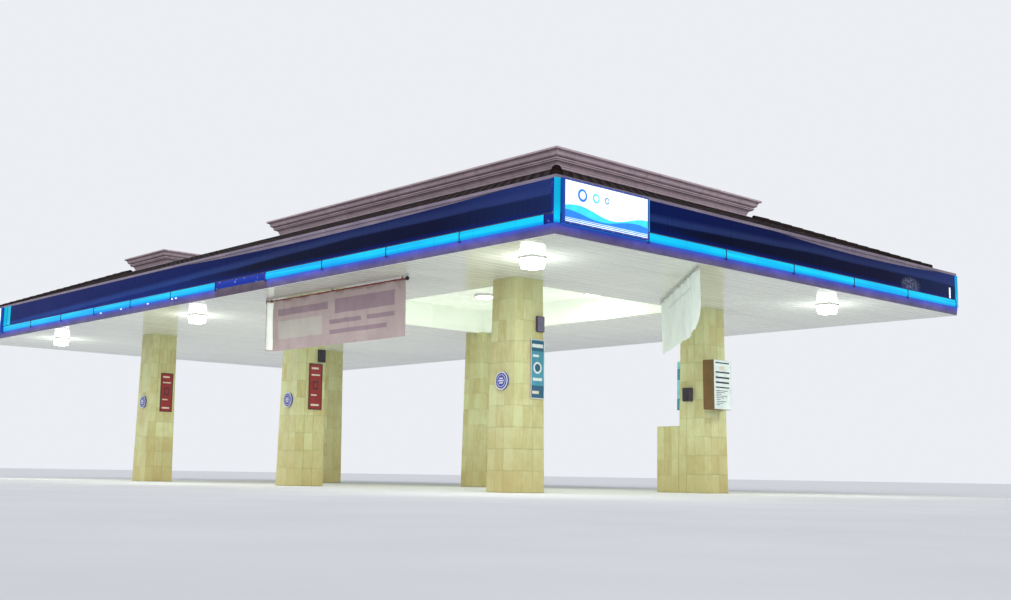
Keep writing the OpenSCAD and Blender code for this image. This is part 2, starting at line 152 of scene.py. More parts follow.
class Mat(Graph):
    """One material in the object's own coordinates. Colours are triples of 0 to 255."""

    def __init__(self, name, rough=0.5, metal=0.0, spec=None):
        self.m = bpy.data.materials.new(name)
        self.m.use_nodes = True
        super().__init__(self.m.node_tree)
        self.b = self.t.nodes["Principled BSDF"]
        self.b.inputs["Roughness"].default_value = rough
        self.b.inputs["Metallic"].default_value = metal
        if spec is not None:
            self.b.inputs["Specular IOR Level"].default_value = spec
        self.pos = self.node("ShaderNodeTexCoord").outputs["Object"]

    def map(self, scale, loc=(0, 0, 0), vec=None):
        n = self.node("ShaderNodeMapping")
        self.put(n.inputs["Vector"], vec or self.pos)
        n.inputs["Scale"].default_value = scale
        n.inputs["Location"].default_value = loc
        return n.outputs[0]

    def noise(self, scale, detail=4.0, rough=0.55, vec=None, dist=0.0):
        n = self.node("ShaderNodeTexNoise")
        self.put(n.inputs["Vector"], vec or self.pos)
        for sock, v in (("Scale", scale), ("Detail", detail), ("Roughness", rough), ("Distortion", dist)):
            n.inputs[sock].default_value = v
        return n.outputs["Fac"]

    def grain(self, scale, detail, rough, dist=0.0, loc=(0, 0, 0), vec=None):
        """Noise with a scale of its own along each axis."""
        return self.noise(1.0, detail, rough, self.map(scale, loc, vec), dist)

    def voronoi(self, scale, feature):
        n = self.node("ShaderNodeTexVoronoi", feature=feature)
        self.put(n.inputs["Vector"], self.pos)
        n.inputs["Scale"].default_value = scale
        return n.outputs["Distance"]

    def ramp(self, fac, *stops, mode="LINEAR"):
        """Each stop is its place from 0 to 1, then its red, green and blue."""
        n = self.node("ShaderNodeValToRGB")
        n.color_ramp.interpolation = mode
        e = n.color_ramp.elements
        while len(e) < len(stops):
            e.new(0.5)
        for k, (p, *c) in enumerate(stops):
            e[k].position = p
            e[k].color = srgb(*c)
        self.put(n.inputs["Fac"], fac)
        return n.outputs["Color"]

    def bw(self, fac, lo, hi, a=0.0, b=1.0):
        """Goes from a to b while fac goes from lo to hi."""
        n = self.node("ShaderNodeMapRange", clamp=True)
        for k, v in enumerate((fac, lo, hi, a, b)):
            self.put(n.inputs[k], v)
        return n.outputs[0]

    def mix(self, fac, a, b):
        n = self.node("ShaderNodeMix", data_type="RGBA")
        self.put(n.inputs["Factor"], fac)
        for k, v in ((6, a), (7, b)):
            self.put(n.inputs[k], srgb(*v) if isinstance(v, tuple) else v)
        return n.outputs[2]

    def stain(self, col, fac, lo, hi, amount, over):
        """Lays the colour over on col, up to amount, where fac rises from lo to hi."""
        return self.mix(self.bw(fac, lo, hi, 0, amount), col, over)

    def shade(self, col, value):
        n = self.node("ShaderNodeHueSaturation")
        self.put(n.inputs["Value"], value)
        self.put(n.inputs["Color"], col)
        return n.outputs[0]

    def xyz(self, vec=None):
        n = self.node("ShaderNodeSeparateXYZ")
        self.put(n.inputs[0], vec or self.pos)
        return n.outputs[0], n.outputs[1], n.outputs[2]

    def along(self):
        """Distance from the right end of the face that a point lies on, seen from outside."""
        x, y, z = self.xyz()
        far_x = self.sub(self.math("ABSOLUTE", x), XR)
        far_y = self.sub(self.math("ABSOLUTE", y), YB)
        self.long_face = self.more(far_y, far_x)
        on_long = self.add(XR, self.mul(self.math("SIGN", y), x))
        on_short = self.sub(YB, self.mul(self.math("SIGN", x), y))
        return self.add(self.mul(self.long_face, on_long), self.mul(self.sub(1.0, self.long_face), on_short))

    def between(self, v, lo, hi):
        return self.mul(self.more(v, lo), self.less(v, hi))

    def geometry(self, out):
        return self.node("ShaderNodeNewGeometry").outputs[out]

    def island(self):
        return self.geometry("Random Per Island")

    def glow(self, colour, strength):
        self.put(self.b.inputs["Emission Color"], colour)
        self.put(self.b.inputs["Emission Strength"], strength)

    def done(self, col, *bumps, rough=None):
        """Wires the colour, the roughness and the bumps, each a height and its depth in metres."""
        self.put(self.b.inputs["Base Color"], col)
        if rough is not None:
            self.put(self.b.inputs["Roughness"], rough)
        normal = None
        for height, depth in bumps:
            n = self.node("ShaderNodeBump")
            n.inputs["Strength"].default_value = 1.0
            n.inputs["Distance"].default_value = depth
            self.put(n.inputs["Height"], height)
            if normal:
                self.put(n.inputs["Normal"], normal)
            normal = n.outputs[0]
        if normal:
            self.put(self.b.inputs["Normal"], normal)
        return self.m


def travertine():
    a = Mat("travertine", 0.5, spec=0.22)
    tone = a.ramp(a.island(), (0.0, 184, 178, 124), (0.25, 192, 190, 138), (0.5, 198, 199, 148),
                  (0.75, 202, 206, 156), (1.0, 188, 185, 132))
    vein = a.grain((6, 6, 1.6), 6, 0.62, 0.9)
    col = a.stain(tone, vein, 0.4, 0.68, 0.4, (218, 220, 174))
    band = a.grain((22, 22, 3.4), 5, 0.65, 0.5, (3, 7, 1))
    col = a.stain(col, band, 0.52, 0.74, 0.3, (166, 144, 82))
    col = a.stain(col, a.noise(1.5, 4, 0.6), 0.48, 0.7, 0.3, (178, 150, 84))
    # Ochre and duller towards the foot.
    height = a.add(a.xyz()[2], a.mul(a.noise(1.1, 4), 0.8))
    col = a.mix(a.bw(height, 0.5, 2.3, 0.5, 0), col, (150, 128, 70))
    pits = a.grain((60, 60, 30), 6, 0.75)
    hole = a.bw(pits, 0.33, 0.40)
    col = a.mix(a.line(hole, -0.45, 0.45), col, (126, 104, 58))
    dull = a.bw(vein, 0.3, 0.7, 0.42, 0.62)
    return a.done(col, (pits, 0.0015), (hole, 0.002), (vein, 0.002), rough=dull)


def panel_paint(name, main, other, rough, ripple, painted_glow=0.0):
    a = Mat(name, rough)
    isl = a.island()
    col = a.stain(main, a.noise(0.16, 3, 0.5), 0.35, 0.7, 0.8, other)
    col = a.shade(col, a.line(isl, 0.06, 0.95))
    col = a.stain(col, a.grain((1.7, 0.22, 1.7), 4, 0.6, 0.4), 0.5, 0.8, 0.22, (150, 148, 138))
    col = a.stain(col, a.noise(5, 3, 0.6), 0.72, 0.8, 0.12, (140, 132, 112))
    # Every panel has a ripple of its own.
    comb = a.node("ShaderNodeCombineXYZ")
    a.put(comb.inputs[0], a.mul(isl, 37.0))
    moved = a.node("ShaderNodeVectorMath", operation="ADD")
    a.put(moved.inputs[0], a.pos)
    a.put(moved.inputs[1], comb.outputs[0])
    wave = a.grain((1.5, 0.42, 1.5), 2, 0.4, 0.6, vec=moved.outputs[0])
    # A painted glow, given to the recess panels.
    if painted_glow:
        a.glow(col, painted_glow)
    dull = a.bw(a.grain((1.6, 0.4, 1.6), 3, 0.5), 0.3, 0.75, rough * 0.75, rough * 1.5)
    return a.done(col, (wave, ripple * 9), (a.noise(6, 2, 0.5), ripple * 0.2), rough=dull)


def sheet_blue():
    a = Mat("fascia_blue", 0.3, spec=0.02)
    x, y, z = a.xyz()
    along = a.along()
    far = a.math("DIVIDE", along, 32.0)
    # Three bands of painted reflection: mid blue under the coping, a paler one, and a dark one above the
    # light strip, their tones changing along the face as painted light.
    drop = a.mul(a.math("MAXIMUM", a.sub(along, 7.0), 0.0), 0.02)
    edge = a.sub(a.line(a.noise(0.35, 2), 0.08, SHEET + 0.36), drop)
    above = a.line(a.sub(z, edge), 22.0, 0.5, clamp=True)
    high = a.line(a.sub(z, a.add(edge, 0.15)), 9.0, 0.5, clamp=True)
    up = a.ramp(far, (0.0, 38, 54, 112), (0.1, 24, 36, 86), (0.28, 12, 24, 72), (0.48, 8, 25, 86),
                (1.0, 6, 28, 98))
    pale = a.ramp(far, (0.0, 42, 58, 114), (0.12, 36, 48, 94), (0.32, 38, 50, 94), (0.5, 32, 58, 122),
                  (1.0, 26, 64, 144))
    down = a.ramp(far, (0.0, 26, 40, 84), (0.12, 10, 16, 48), (0.36, 6, 14, 42), (0.5, 8, 34, 102),
                  (1.0, 8, 30, 142))
    col = a.mix(above, down, a.mix(high, pale, up))
    col = a.shade(col, a.line(a.noise(0.8, 5, 0.6, a.map((0.5, 0.5, 2.5))), 0.4, 0.8))
    streak = a.grain((7, 7, 0.8), 5, 0.7)
    col = a.stain(col, streak, 0.62, 0.85, 0.06, (100, 108, 140))
    # Painted glow of the light strip: deep blue on the foot of the sheet.
    col = a.mix(a.bw(z, SHEET, SHEET + 0.13, 0.75, 0), col, (6, 34, 124))
    # A round scuffed patch near the far end of the right face.
    across = a.math("POWER", a.math("DIVIDE", a.sub(along, 2.62), 0.55), 2.0)
    upward = a.math("POWER", a.math("DIVIDE", a.sub(z, SHEET + 0.15), 0.24), 2.0)
    spot = a.mul(a.bw(a.add(across, upward), 0.3, 1.0, 0.7, 0), a.more(x, XR - 0.2))
    col = a.mix(a.mul(spot, a.bw(a.noise(13.0, 6, 0.8), 0.44, 0.6)), col, (138, 144, 168))
    buckle = a.grain((0.9, 0.9, 1.8), 2, 0.4)
    return a.done(col, (buckle, 0.012), (a.noise(9, 3), 0.0006), rough=a.bw(streak, 0.35, 0.8, 0.24, 0.45))


def coping_metal():
    a = Mat("coping_metal", 0.5, spec=0.25)
    n = a.noise(1.2, 6, 0.65)
    col = a.ramp(n, (0.3, 108, 97, 115), (0.5, 125, 113, 129), (0.75, 146, 134, 143))
    col = a.stain(col, a.grain((11, 11, 1.0), 5, 0.7), 0.55, 0.75, 0.35, (104, 92, 104))
    col = a.stain(col, a.noise(5, 6, 0.7), 0.62, 0.72, 0.4, (120, 88, 66))
    return a.done(col, (a.noise(2.4, 3), 0.005), (a.noise(30, 3), 0.0004), rough=a.bw(n, 0.3, 0.7, 0.3, 0.6))


def strip_light():
    a = Mat("strip_light", 0.3, spec=0.05)
    x, y, z = a.xyz()
    along = a.along()
    tone = a.line(a.noise(1.0, 1, 0.3, a.map((0.55, 0.55, 0))), 0.55, a.mul(a.island(), 0.5))
    cyan = a.ramp(tone, (0.0, 2, 158, 248), (0.4, 4, 186, 253), (0.54, 8, 210, 254), (1.0, 16, 226, 253),
                  mode="EASE")
    low = a.mul(a.bw(z, STRIP, STRIP + 0.08, 0.6, 0), a.less(z, SHEET + 0.02))
    cyan = a.mix(low, cyan, (14, 120, 232))
    seam = a.bw(a.math("PINGPONG", a.add(x, y), 0.66), 0.0, 0.02, 0.8, 1)
    mid = a.math("ABSOLUTE", a.sub(z, (STRIP + SHEET) / 2))
    tube = a.sub(1.0, a.mul(mid, 3.2), clamp=True)
    power = a.mul(a.mul(seam, a.line(tube, 0.3, 0.70)), a.line(a.noise(3, 2), 0.12, 0.94))
    # One failed module on the front face, and the dark ends of the long rows beside the corner lights.
    dead = a.mul(a.between(along, 10.84, 13.47), a.less(y, YF + 0.2))
    tip = a.mul(a.between(along, 0.035, 0.312), a.long_face)
    speck = a.bw(a.noise(9.0, 3, 0.6), 0.62, 0.66, 0.0, 0.6)
    off = a.math("MAXIMUM", dead, tip)
    power = a.mul(power, a.sub(1.0, off))
    power = a.add(power, a.mul(dead, a.add(0.34, speck)))
    power = a.add(power, a.mul(tip, 0.18))
    a.glow(a.mix(off, cyan, a.mix(speck, (20, 74, 226), (210, 230, 255))), power)
    body = a.mix(off, (2, 22, 62), (8, 20, 92))
    body = a.stain(body, a.noise(18, 5, 0.7), 0.45, 0.75, 0.4, (20, 44, 92))
    return a.done(body, (a.noise(24, 3), 0.0008))


def trim_paint():
    a = Mat("trim_paint", 0.45, spec=0.15)
    x, y, z = a.xyz()
    # Painted light of the strip above: the trim is given its blue-purple colour, bluer at the head, and a
    # glow.
    painted_violet_light = a.ramp(a.noise(0.9, 4, 0.6), (0.3, 60, 58, 132), (0.5, 72, 70, 156), (0.75, 100, 96, 190))
    painted_violet_light = a.stain(painted_violet_light, z, STRIP - 0.09, STRIP - 0.005, 0.8, (26, 84, 196))
    # Violet-grey at the foot, and brown all over under the failed module, where the strip's painted light is
    # less or left out.
    foot = a.bw(a.add(z, a.mul(a.noise(2.0, 3), 0.05)), SOFFIT + 0.07, SOFFIT + 0.19, 0.85, 0)
    dead = a.mul(a.between(a.along(), 10.8, 13.5), a.less(y, YF + 0.2))
    soot = a.noise(2.6, 5, 0.7)
    brown = a.ramp(soot, (0.3, 74, 62, 64), (0.55, 95, 80, 82), (0.75, 116, 102, 98))
    grey = a.ramp(soot, (0.3, 88, 78, 106), (0.55, 106, 97, 122), (0.75, 122, 114, 132))
    low = a.math("MAXIMUM", foot, a.mul(dead, 0.9))
    col = a.mix(low, painted_violet_light, a.mix(dead, grey, brown))
    col = a.stain(col, a.grain((10, 10, 1.4), 5, 0.7), 0.55, 0.78, 0.3, (74, 62, 92))
    a.glow(painted_violet_light, a.mul(a.sub(1.0, low), 0.26))
    return a.done(col, (a.noise(1.6, 3), 0.006), (a.noise(26, 3), 0.0005))


def stucco(name, main, other):
    a = Mat(name, 0.86)
    z = a.xyz()[2]
    col = a.stain(main, a.noise(1.6, 6, 0.65), 0.35, 0.68, 1, other)
    # Painted light: the short faces are paler than the long ones.
    nx, ny, nz = a.xyz(a.geometry("Normal"))
    short = a.more(a.math("ABSOLUTE", nx), a.math("ABSOLUTE", ny))
    col = a.mix(a.mul(short, 0.45), col, (232, 208, 216))
    run = a.bw(a.grain((7, 7, 0.7), 6, 0.7), 0.5, 0.72, 0, 0.45)
    col = a.mix(a.mul(run, a.bw(a.sub(z, DECK), 0.0, CROWN, 0.5, 1.0)), col, (112, 98, 96))
    top = DECK + CROWN
    lip = a.add(z, a.mul(a.noise(8, 4), 0.03))
    col = a.stain(col, lip, top - 0.005, top + 0.01, 0.35, (210, 198, 194))
    crack = a.bw(a.voronoi(1.1, "DISTANCE_TO_EDGE"), 0.0, 0.008, 0.6, 0)
    col = a.mix(a.mul(crack, a.bw(a.noise(1.3, 2), 0.5, 0.6)), col, (78, 70, 66))
    return a.done(col, (a.noise(9, 4, 0.6, dist=0.7), 0.004), (a.noise(90, 4, 0.7), 0.0016))


def clay():
    a = Mat("clay_tile", 0.72, spec=0.1)
    tone = a.ramp(a.island(), (0.0, 28, 19, 21), (0.3, 36, 24, 24), (0.6, 30, 21, 24), (0.85, 42, 28, 26),
                  (1.0, 22, 17, 21))
    n = a.noise(6, 6, 0.7)
    col = a.stain(tone, n, 0.45, 0.75, 0.45, (24, 20, 22))
    col = a.stain(col, a.noise(24, 5, 0.75), 0.62, 0.7, 0.4, (54, 47, 46))
    return a.done(col, (n, 0.004), (a.noise(70, 4), 0.0012), rough=a.bw(n, 0.3, 0.7, 0.58, 0.85))


def membrane():
    a = Mat("roof_membrane", 0.82)
    n = a.noise(0.5, 6, 0.65)
    col = a.ramp(n, (0.3, 84, 84, 88), (0.55, 108, 108, 110), (0.8, 134, 132, 128))
    pond = a.noise(0.22, 3, 0.5)
    ring = a.bw(a.math("ABSOLUTE", a.sub(pond, 0.55)), 0.0, 0.02, 0.5, 0)
    col = a.mix(ring, col, (70, 64, 58))
    col = a.stain(col, pond, 0.55, 0.7, 0.3, (94, 88, 80))
    grit = a.noise(160, 3, 0.8)
    col = a.stain(col, grit, 0.55, 0.75, 0.25, (160, 160, 158))
    return a.done(col, (grit, 0.001), (n, 0.01))


def metal(name, main, other, rough, metallic, rust):
    a = Mat(name, rough, metallic)
    n = a.noise(7, 5, 0.65)
    col = a.stain(main, n, 0.35, 0.7, 1, other)
    col = a.stain(col, a.noise(3.1, 7, 0.75), 0.6, 0.7, rust, (112, 68, 44))
    dull = a.bw(n, 0.3, 0.7, rough * 0.8, min(1.0, rough * 1.4))
    return a.done(col, (n, 0.001), (a.noise(60, 3), 0.0003), rough=dull)


def rail_paint():
    """Dark red on the front rail, pale on the side one."""
    a = Mat("rail_paint", 0.5, 0.2)
    n = a.noise(7, 5, 0.65)
    red = a.stain((158, 88, 76), n, 0.35, 0.7, 1, (124, 66, 58))
    pale = a.stain((206, 210, 206), n, 0.35, 0.7, 1, (182, 186, 184))
    col = a.mix(a.more(a.xyz()[0], XR - 5.5), red, pale)
    col = a.stain(col, a.noise(3.1, 7, 0.75), 0.6, 0.7, 0.4, (112, 68, 44))
    return a.done(col, (n, 0.001), (a.noise(60, 3), 0.0003), rough=a.bw(n, 0.3, 0.7, 0.4, 0.7))


def enamel(name, colour, rough=0.28, glow=0.0, wear=0.2, dirt=(90, 84, 76)):
    a = Mat(name, rough)
    n = a.noise(4, 5, 0.6)
    col = a.stain(colour, n, 0.3, 0.75, 1, tuple(c * 0.86 for c in colour))
    streak = a.grain((16, 16, 2.4), 6, 0.7)
    col = a.stain(col, streak, 0.56, 0.78, wear, dirt)
    # The glow is the signs' own light, and a painted glow on the boards that have it.
    if glow:
        a.glow(col, a.line(a.noise(1.6, 3), 0.2 * glow, 0.88 * glow))
    dull = a.bw(streak, 0.3, 0.8, rough * 0.8, min(1.0, rough * 1.6))
    return a.done(col, (n, 0.0008), (a.noise(40, 3), 0.0003), rough=dull)


def cloth(name, main, other, fold, glow):
    a = Mat(name, 0.85)
    n = a.noise(1.4, 5, 0.6)
    col = a.stain(main, n, 0.35, 0.7, 1, other)
    # Darker upright streaks as painted shade of folds.
    col = a.stain(col, a.grain((5, 5, 1.2), 5, 0.7), 0.52, 0.75, 0.35, fold)
    # A painted glow: the cloth gives off a little light of its own.
    a.glow(col, glow)
    weave = a.mul(a.math("SINE", a.mul(a.xyz()[2], 900.0)), 0.5)
    return a.done(col, (n, 0.004), (weave, 0.0002))


def lens_glow():
    a = Mat("lamp_lens", 0.2)
    col = a.ramp(a.noise(6, 4, 0.6), (0.3, 244, 255, 246), (0.7, 255, 255, 250))
    rib = a.voronoi(46, "F1")
    a.glow(col, a.mul(a.bw(rib, 0.1, 0.5, 0.85, 1.0), 9.0))
    return a.done(col, (rib, 0.002))


MATS = {
    "stone": travertine(),
    "soffit": panel_paint("soffit_panel", (214, 218, 207), (200, 204, 196), 0.11, 0.0013),
    "recess": panel_paint("recess_panel", (246, 252, 242), (236, 246, 232), 0.3, 0.001, 0.14),
    "steel": metal("painted_steel", (112, 112, 116), (88, 88, 94), 0.55, 0.2, 0.6),
    "trim": trim_paint(),
    "fascia": sheet_blue(),
    "coping": coping_metal(),
    "blue_light": strip_light(),
    "sign_frame": enamel("sign_frame_blue", (34, 70, 178), 0.3, wear=0.25),
    "sign_face": enamel("sign_white", (240, 250, 255), 0.3, 0.8, 0.06, (190, 200, 215)),
    "sign_cyan": enamel("sign_cyan", (44, 196, 214), 0.3, 0.85, 0.08, (30, 120, 190)),
    "sign_blue": enamel("sign_blue", (20, 116, 232), 0.3, 0.9, 0.08, (10, 60, 160)),
    "roof": clay(),
    "deck": membrane(),
    "cornice": stucco("cornice_stucco", (188, 166, 172), (168, 147, 152)),
    "lamp_frame": enamel("lamp_frame_white", (226, 228, 222), 0.35, wear=0.3),
    "lamp_lens": lens_glow(),
    "rail": rail_paint(),
    "banner_pink": cloth("banner_pink", (196, 178, 174), (180, 162, 158), (160, 142, 138), 0.04),
    # The curled edge of the front banner: pale, with a strong painted glow standing for its highlight.
    "banner_curl_painted_light": cloth("banner_curl_painted_light", (240, 244, 238), (226, 234, 226), (190, 196, 190), 0.35),
    "banner": cloth("banner_white", (222, 232, 226), (208, 218, 214), (182, 190, 192), 0.12),
    "print": cloth("banner_print", (166, 142, 150), (154, 132, 140), (140, 120, 128), 0.03),
    "print_soft": cloth("banner_print_soft", (200, 194, 182), (188, 184, 172), (168, 164, 154), 0.05),
    "print_pale": cloth("banner_print_pale", (208, 217, 216), (198, 208, 208), (176, 184, 190), 0.1),
    "board": enamel("board_red", (150, 40, 42), 0.35, wear=0.3),
    "board_pale": enamel("board_pale", (222, 214, 196), 0.4, wear=0.3),
    # The white and the sky boards carry a small painted glow.
    "board_white": enamel("board_white", (214, 226, 222), 0.35, 0.12, 0.25),
    "board_dark": enamel("board_dark", (44, 40, 52), 0.4),
    "board_teal": enamel("board_teal", (70, 150, 172), 0.35, wear=0.3),
    "board_sky": enamel("board_sky", (138, 208, 214), 0.35, 0.06, 0.3),
    "board_deep": enamel("board_deep_teal", (34, 92, 120), 0.35, wear=0.3),
    "board_brown": enamel("board_casing_painted_shade", (120, 92, 48), 0.5, wear=0.4),
    "plaque": enamel("plaque_blue", (52, 62, 156)),
    "white": enamel("plain_white", (232, 234, 236), 0.3),
    "speaker": enamel("speaker_case", (78, 70, 84), 0.55, wear=0.25),
    "speaker_painted_light": enamel("speaker_painted_light", (150, 144, 176), 0.5),
    "grille": metal("speaker_grille", (60, 56, 64), (36, 34, 40), 0.5, 0.5, 0.15),
    "cap": enamel("strip_cap", (24, 34, 110), 0.35),
    "clip": metal("bright_clip", (235, 238, 245), (200, 204, 214), 0.2, 0.7, 0.05),
    "dark": enamel("dark_seal", (40, 34, 44), 0.6),
}
for n, o in nodes.items():
    o.data.materials.clear()
    o.data.materials.append(MATS[slot_of[n]])


# Mesh building

# Faces of a solid with eight corners, listed as two rings of four or as four pairs.
RINGS = [(0, 3, 2, 1), (4, 5, 6, 7), (0, 1, 5, 4), (1, 2, 6, 5), (2, 3, 7, 6), (3, 0, 4, 7)]
PAIRS = [(0, 1, 3, 2), (4, 6, 7, 5), (0, 4, 5, 1), (2, 3, 7, 6), (0, 2, 6, 4), (1, 5, 7, 3)]


class Build:
    """Collects solids with a material each, then makes one joined piece.

    Where a solid takes put, put(u, v, w) gives the point for its own coordinates."""

    def __init__(self):
        self.v, self.f, self.k, self.names = [], [], [], []

    def add(self, verts, faces, name):
        if name not in self.names:
            self.names.append(name)
        first = len(self.v)
        self.v += [tuple(p) for p in verts]
        self.f += [tuple(first + i for i in f) for f in faces]
        self.k += [self.names.index(name)] * len(faces)

    def box(self, lo, hi, name, put=None):
        (a, b, c), (d, e, f) = lo, hi
        p = [(a, b, c), (d, b, c), (d, e, c), (a, e, c), (a, b, f), (d, b, f), (d, e, f), (a, e, f)]
        self.add([put(*q) for q in p] if put else p, RINGS, name)

    def slab(self, axis, face, depth, a, e, z0, z1, name):
        """A box on the upright face across an axis, depth thick, running from a to e."""
        d0, d1 = sorted((face, face + depth))
        if axis == 0:
            self.box((d0, a, z0), (d1, e, z1), name)
        else:
            self.box((a, d0, z0), (e, d1, z1), name)

    def prism(self, profile, a, b, name, put):
        """A closed profile swept from a to b."""
        n = len(profile)
        p = [put(u, v, a) for u, v in profile] + [put(u, v, b) for u, v in profile]
        faces = [(i, (i + 1) % n, n + (i + 1) % n, n + i) for i in range(n)]
        faces += [tuple(range(n - 1, -1, -1)), tuple(range(n, 2 * n))]
        self.add(p, faces, name)

    def disc(self, mid, radii, a, b, name, put):
        turns = [2 * pi * k / 40 for k in range(40)]
        ring = [(mid[0] + radii[0] * cos(t), mid[1] + radii[1] * sin(t)) for t in turns]
        self.prism(ring, a, b, name, put)

    def piece(self, name, smooth=False):
        me = bpy.data.meshes.new(name)
        me.from_pydata(self.v, [], self.f)
        for n in self.names:
            me.materials.append(MATS[n])
        me.polygons.foreach_set("material_index", self.k)
        me.validate()
        bm = bmesh.new()
        bm.from_mesh(me)
        bmesh.ops.recalc_face_normals(bm, faces=bm.faces)
        bm.to_mesh(me)
        bm.free()
        if smooth:
            me.polygons.foreach_set("use_smooth", [True] * len(me.polygons))
        o = bpy.data.objects.new(name, me)
        scene.collection.objects.link(o)
        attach(o, "root")
        return o


def spans(lo, hi, n, gap):
    """The n equal lengths from lo to hi, each drawn in by the gap at both ends."""
    return [(lo + (hi - lo) * k / n + gap, lo + (hi - lo) * (k + 1) / n - gap) for k in range(n)]


# Sides are numbered as in the construction: 0 front, 1 right, 2 back, 3 left.
CEN = Vector(((XR + XL) / 2, (YB + YF) / 2, 0))
LEN = (XR - XL, YB - YF)


def side_len(s):
    return LEN[s % 2]


def turned(s, x, y):
    """A point beside the front face, turned to side s."""
    c, si = [(1, 0), (0, 1), (-1, 0), (0, -1)][s]
    return c * x - si * y, si * x + c * y


def on_side(s):
    """Gives a point for u along side s from its middle, d inwards from its face and height z."""
    def f(u, d, z):
        x, y = turned(s, u, d - side_len(s + 1) / 2)
        return (CEN.x + x, CEN.y + y, z)
    return f


def joint(s, k):
    """Place along side s of joint k between the light modules, counted from the left end."""
    pitch = (side_len(s) - 2 * POST - ROW_END[s % 2]) / MODULES[s % 2]
    return -side_len(s) / 2 + POST + k * pitch


def column(n):
    """The middle and the half sizes of a column."""
    lo, hi = box(n)
    return (lo + hi) / 2, (hi - lo) / 2


def cladding():
    """Stone tiles on the columns and the pier."""
    b = Build()
    courses, gap, lap = 10, 0.002, 0.010
    for n in COLUMNS:
        mid, size = column(n)
        height = 2 * size.z
        rh = (height - 0.004) / courses
        for s in range(4):
            half, out = (size.x, size.y) if s % 2 == 0 else (size.y, size.x)
            for r in range(courses):
                cut = [0.0, 0.30 + random.uniform(-0.01, 0.01), 0.62, 1.0]
                for k in range(3):
                    thick = 0.010 + random.uniform(0, 0.0035)
                    pts = []
                    # The outer face is a little smaller than the inner one.
                    for depth, inset in ((0.0, 0.0), (thick, 0.002)):
                        for z, rise in ((r * rh + 0.001, inset), ((r + 1) * rh - 0.001, -inset)):
                            w = half - BATTER * z / height + lap
                            e = out - BATTER * z / height + depth
                            for u in (2 * w * cut[k] + gap + inset, 2 * w * cut[k + 1] - gap - inset):
                                x, y = turned(s, u - w, -e)
                                pts.append((mid.x + x, mid.y + y, z + rise))
                    b.add(pts, PAIRS, "stone")
    lo, hi = box("low_pier")
    end = hi.x - 0.03
    faces = ((1, lo.y, -1, lo.x, end), (1, hi.y, 1, lo.x, end), (0, lo.x, -1, lo.y, hi.y))
    for axis, face, out, u0, u1 in faces:
        for z0, z1 in spans(0, hi.z, 4, gap):
            for a, e in spans(u0, u1, 3, gap):
                thick = 0.011 + random.uniform(0, 0.003)
                b.slab(axis, face, out * thick, a, e, z0, z1, "stone")
    for x0, x1 in spans(lo.x, end, 2, gap):
        for y0, y1 in spans(lo.y, hi.y, 3, gap):
            b.box((x0, y0, hi.z), (x1, y1, hi.z + 0.02), "stone")
    b.piece("stone_tiles")


def strips(b, x0, x1, y0, y1, z, name):
    """Panels about 0.3 m wide along y under height z, with rounded edges beside open grooves."""
    n = round((x1 - x0) / 0.3)
    w = (x1 - x0) / n
    for k in range(n):
        a = x0 + k * w
        t = 0.010 + random.uniform(0, 0.0018)
        edge = [(0.006, 0), (0.006, t * 0.55), (0.010, t * 0.9), (0.016, t)]
        prof = [(a + g, z - d) for g, d in edge] + [(a + w - g, z - d) for g, d in reversed(edge)]
        b.prism(prof, y0, y1, name, lambda u, v, q: (u, q, v))


def soffit_panels():
    b = Build()
    inn = 0.02
    x0, x1, y0, y1 = XL + inn, XR - inn, YF + inn, YB - inn
    for plate in ((x0, RX0, y0, y1), (RX0, RX1, y0, RY0), (RX0, RX1, RY1, y1), (RX1, x1, y0, y1)):
        strips(b, *plate, SOFFIT, "soffit")
    b.piece("soffit_panels")


def recess_lining():
    b = Build()
    strips(b, RX0, RX1, RY0, RY1, RECESS, "recess")
    foot, angle, trim = SOFFIT + 0.002, 0.03, 0.045
    # Each wall is its axis, its face, the way to its inside, its ends and its number of sheets.
    walls = ((0, RX0, 1, RY0, RY1, 3), (0, RX1, -1, RY0, RY1, 3),
             (1, RY0, 1, RX0, RX1, 4), (1, RY1, -1, RX0, RX1, 4))
    for axis, face, way, u0, u1, n in walls:
        for a, e in spans(u0, u1, n, 0.003):
            b.slab(axis, face, way * 0.004, a, e, foot, RECESS - 0.012, "recess")
        # A small angle at the foot and the head of the sheets.
        for z in (foot, RECESS - 0.042):
            b.slab(axis, face, way * angle, u0, u1, z, z + angle, "recess")
    # The trim around the opening, under the panels.
    for axis, face, way, u0, u1, n in walls:
        over = 0 if axis else trim
        b.slab(axis, face, -way * trim, u0 - over, u1 + over, SOFFIT - 0.018, SOFFIT, "recess")
    b.piece("recess_lining")


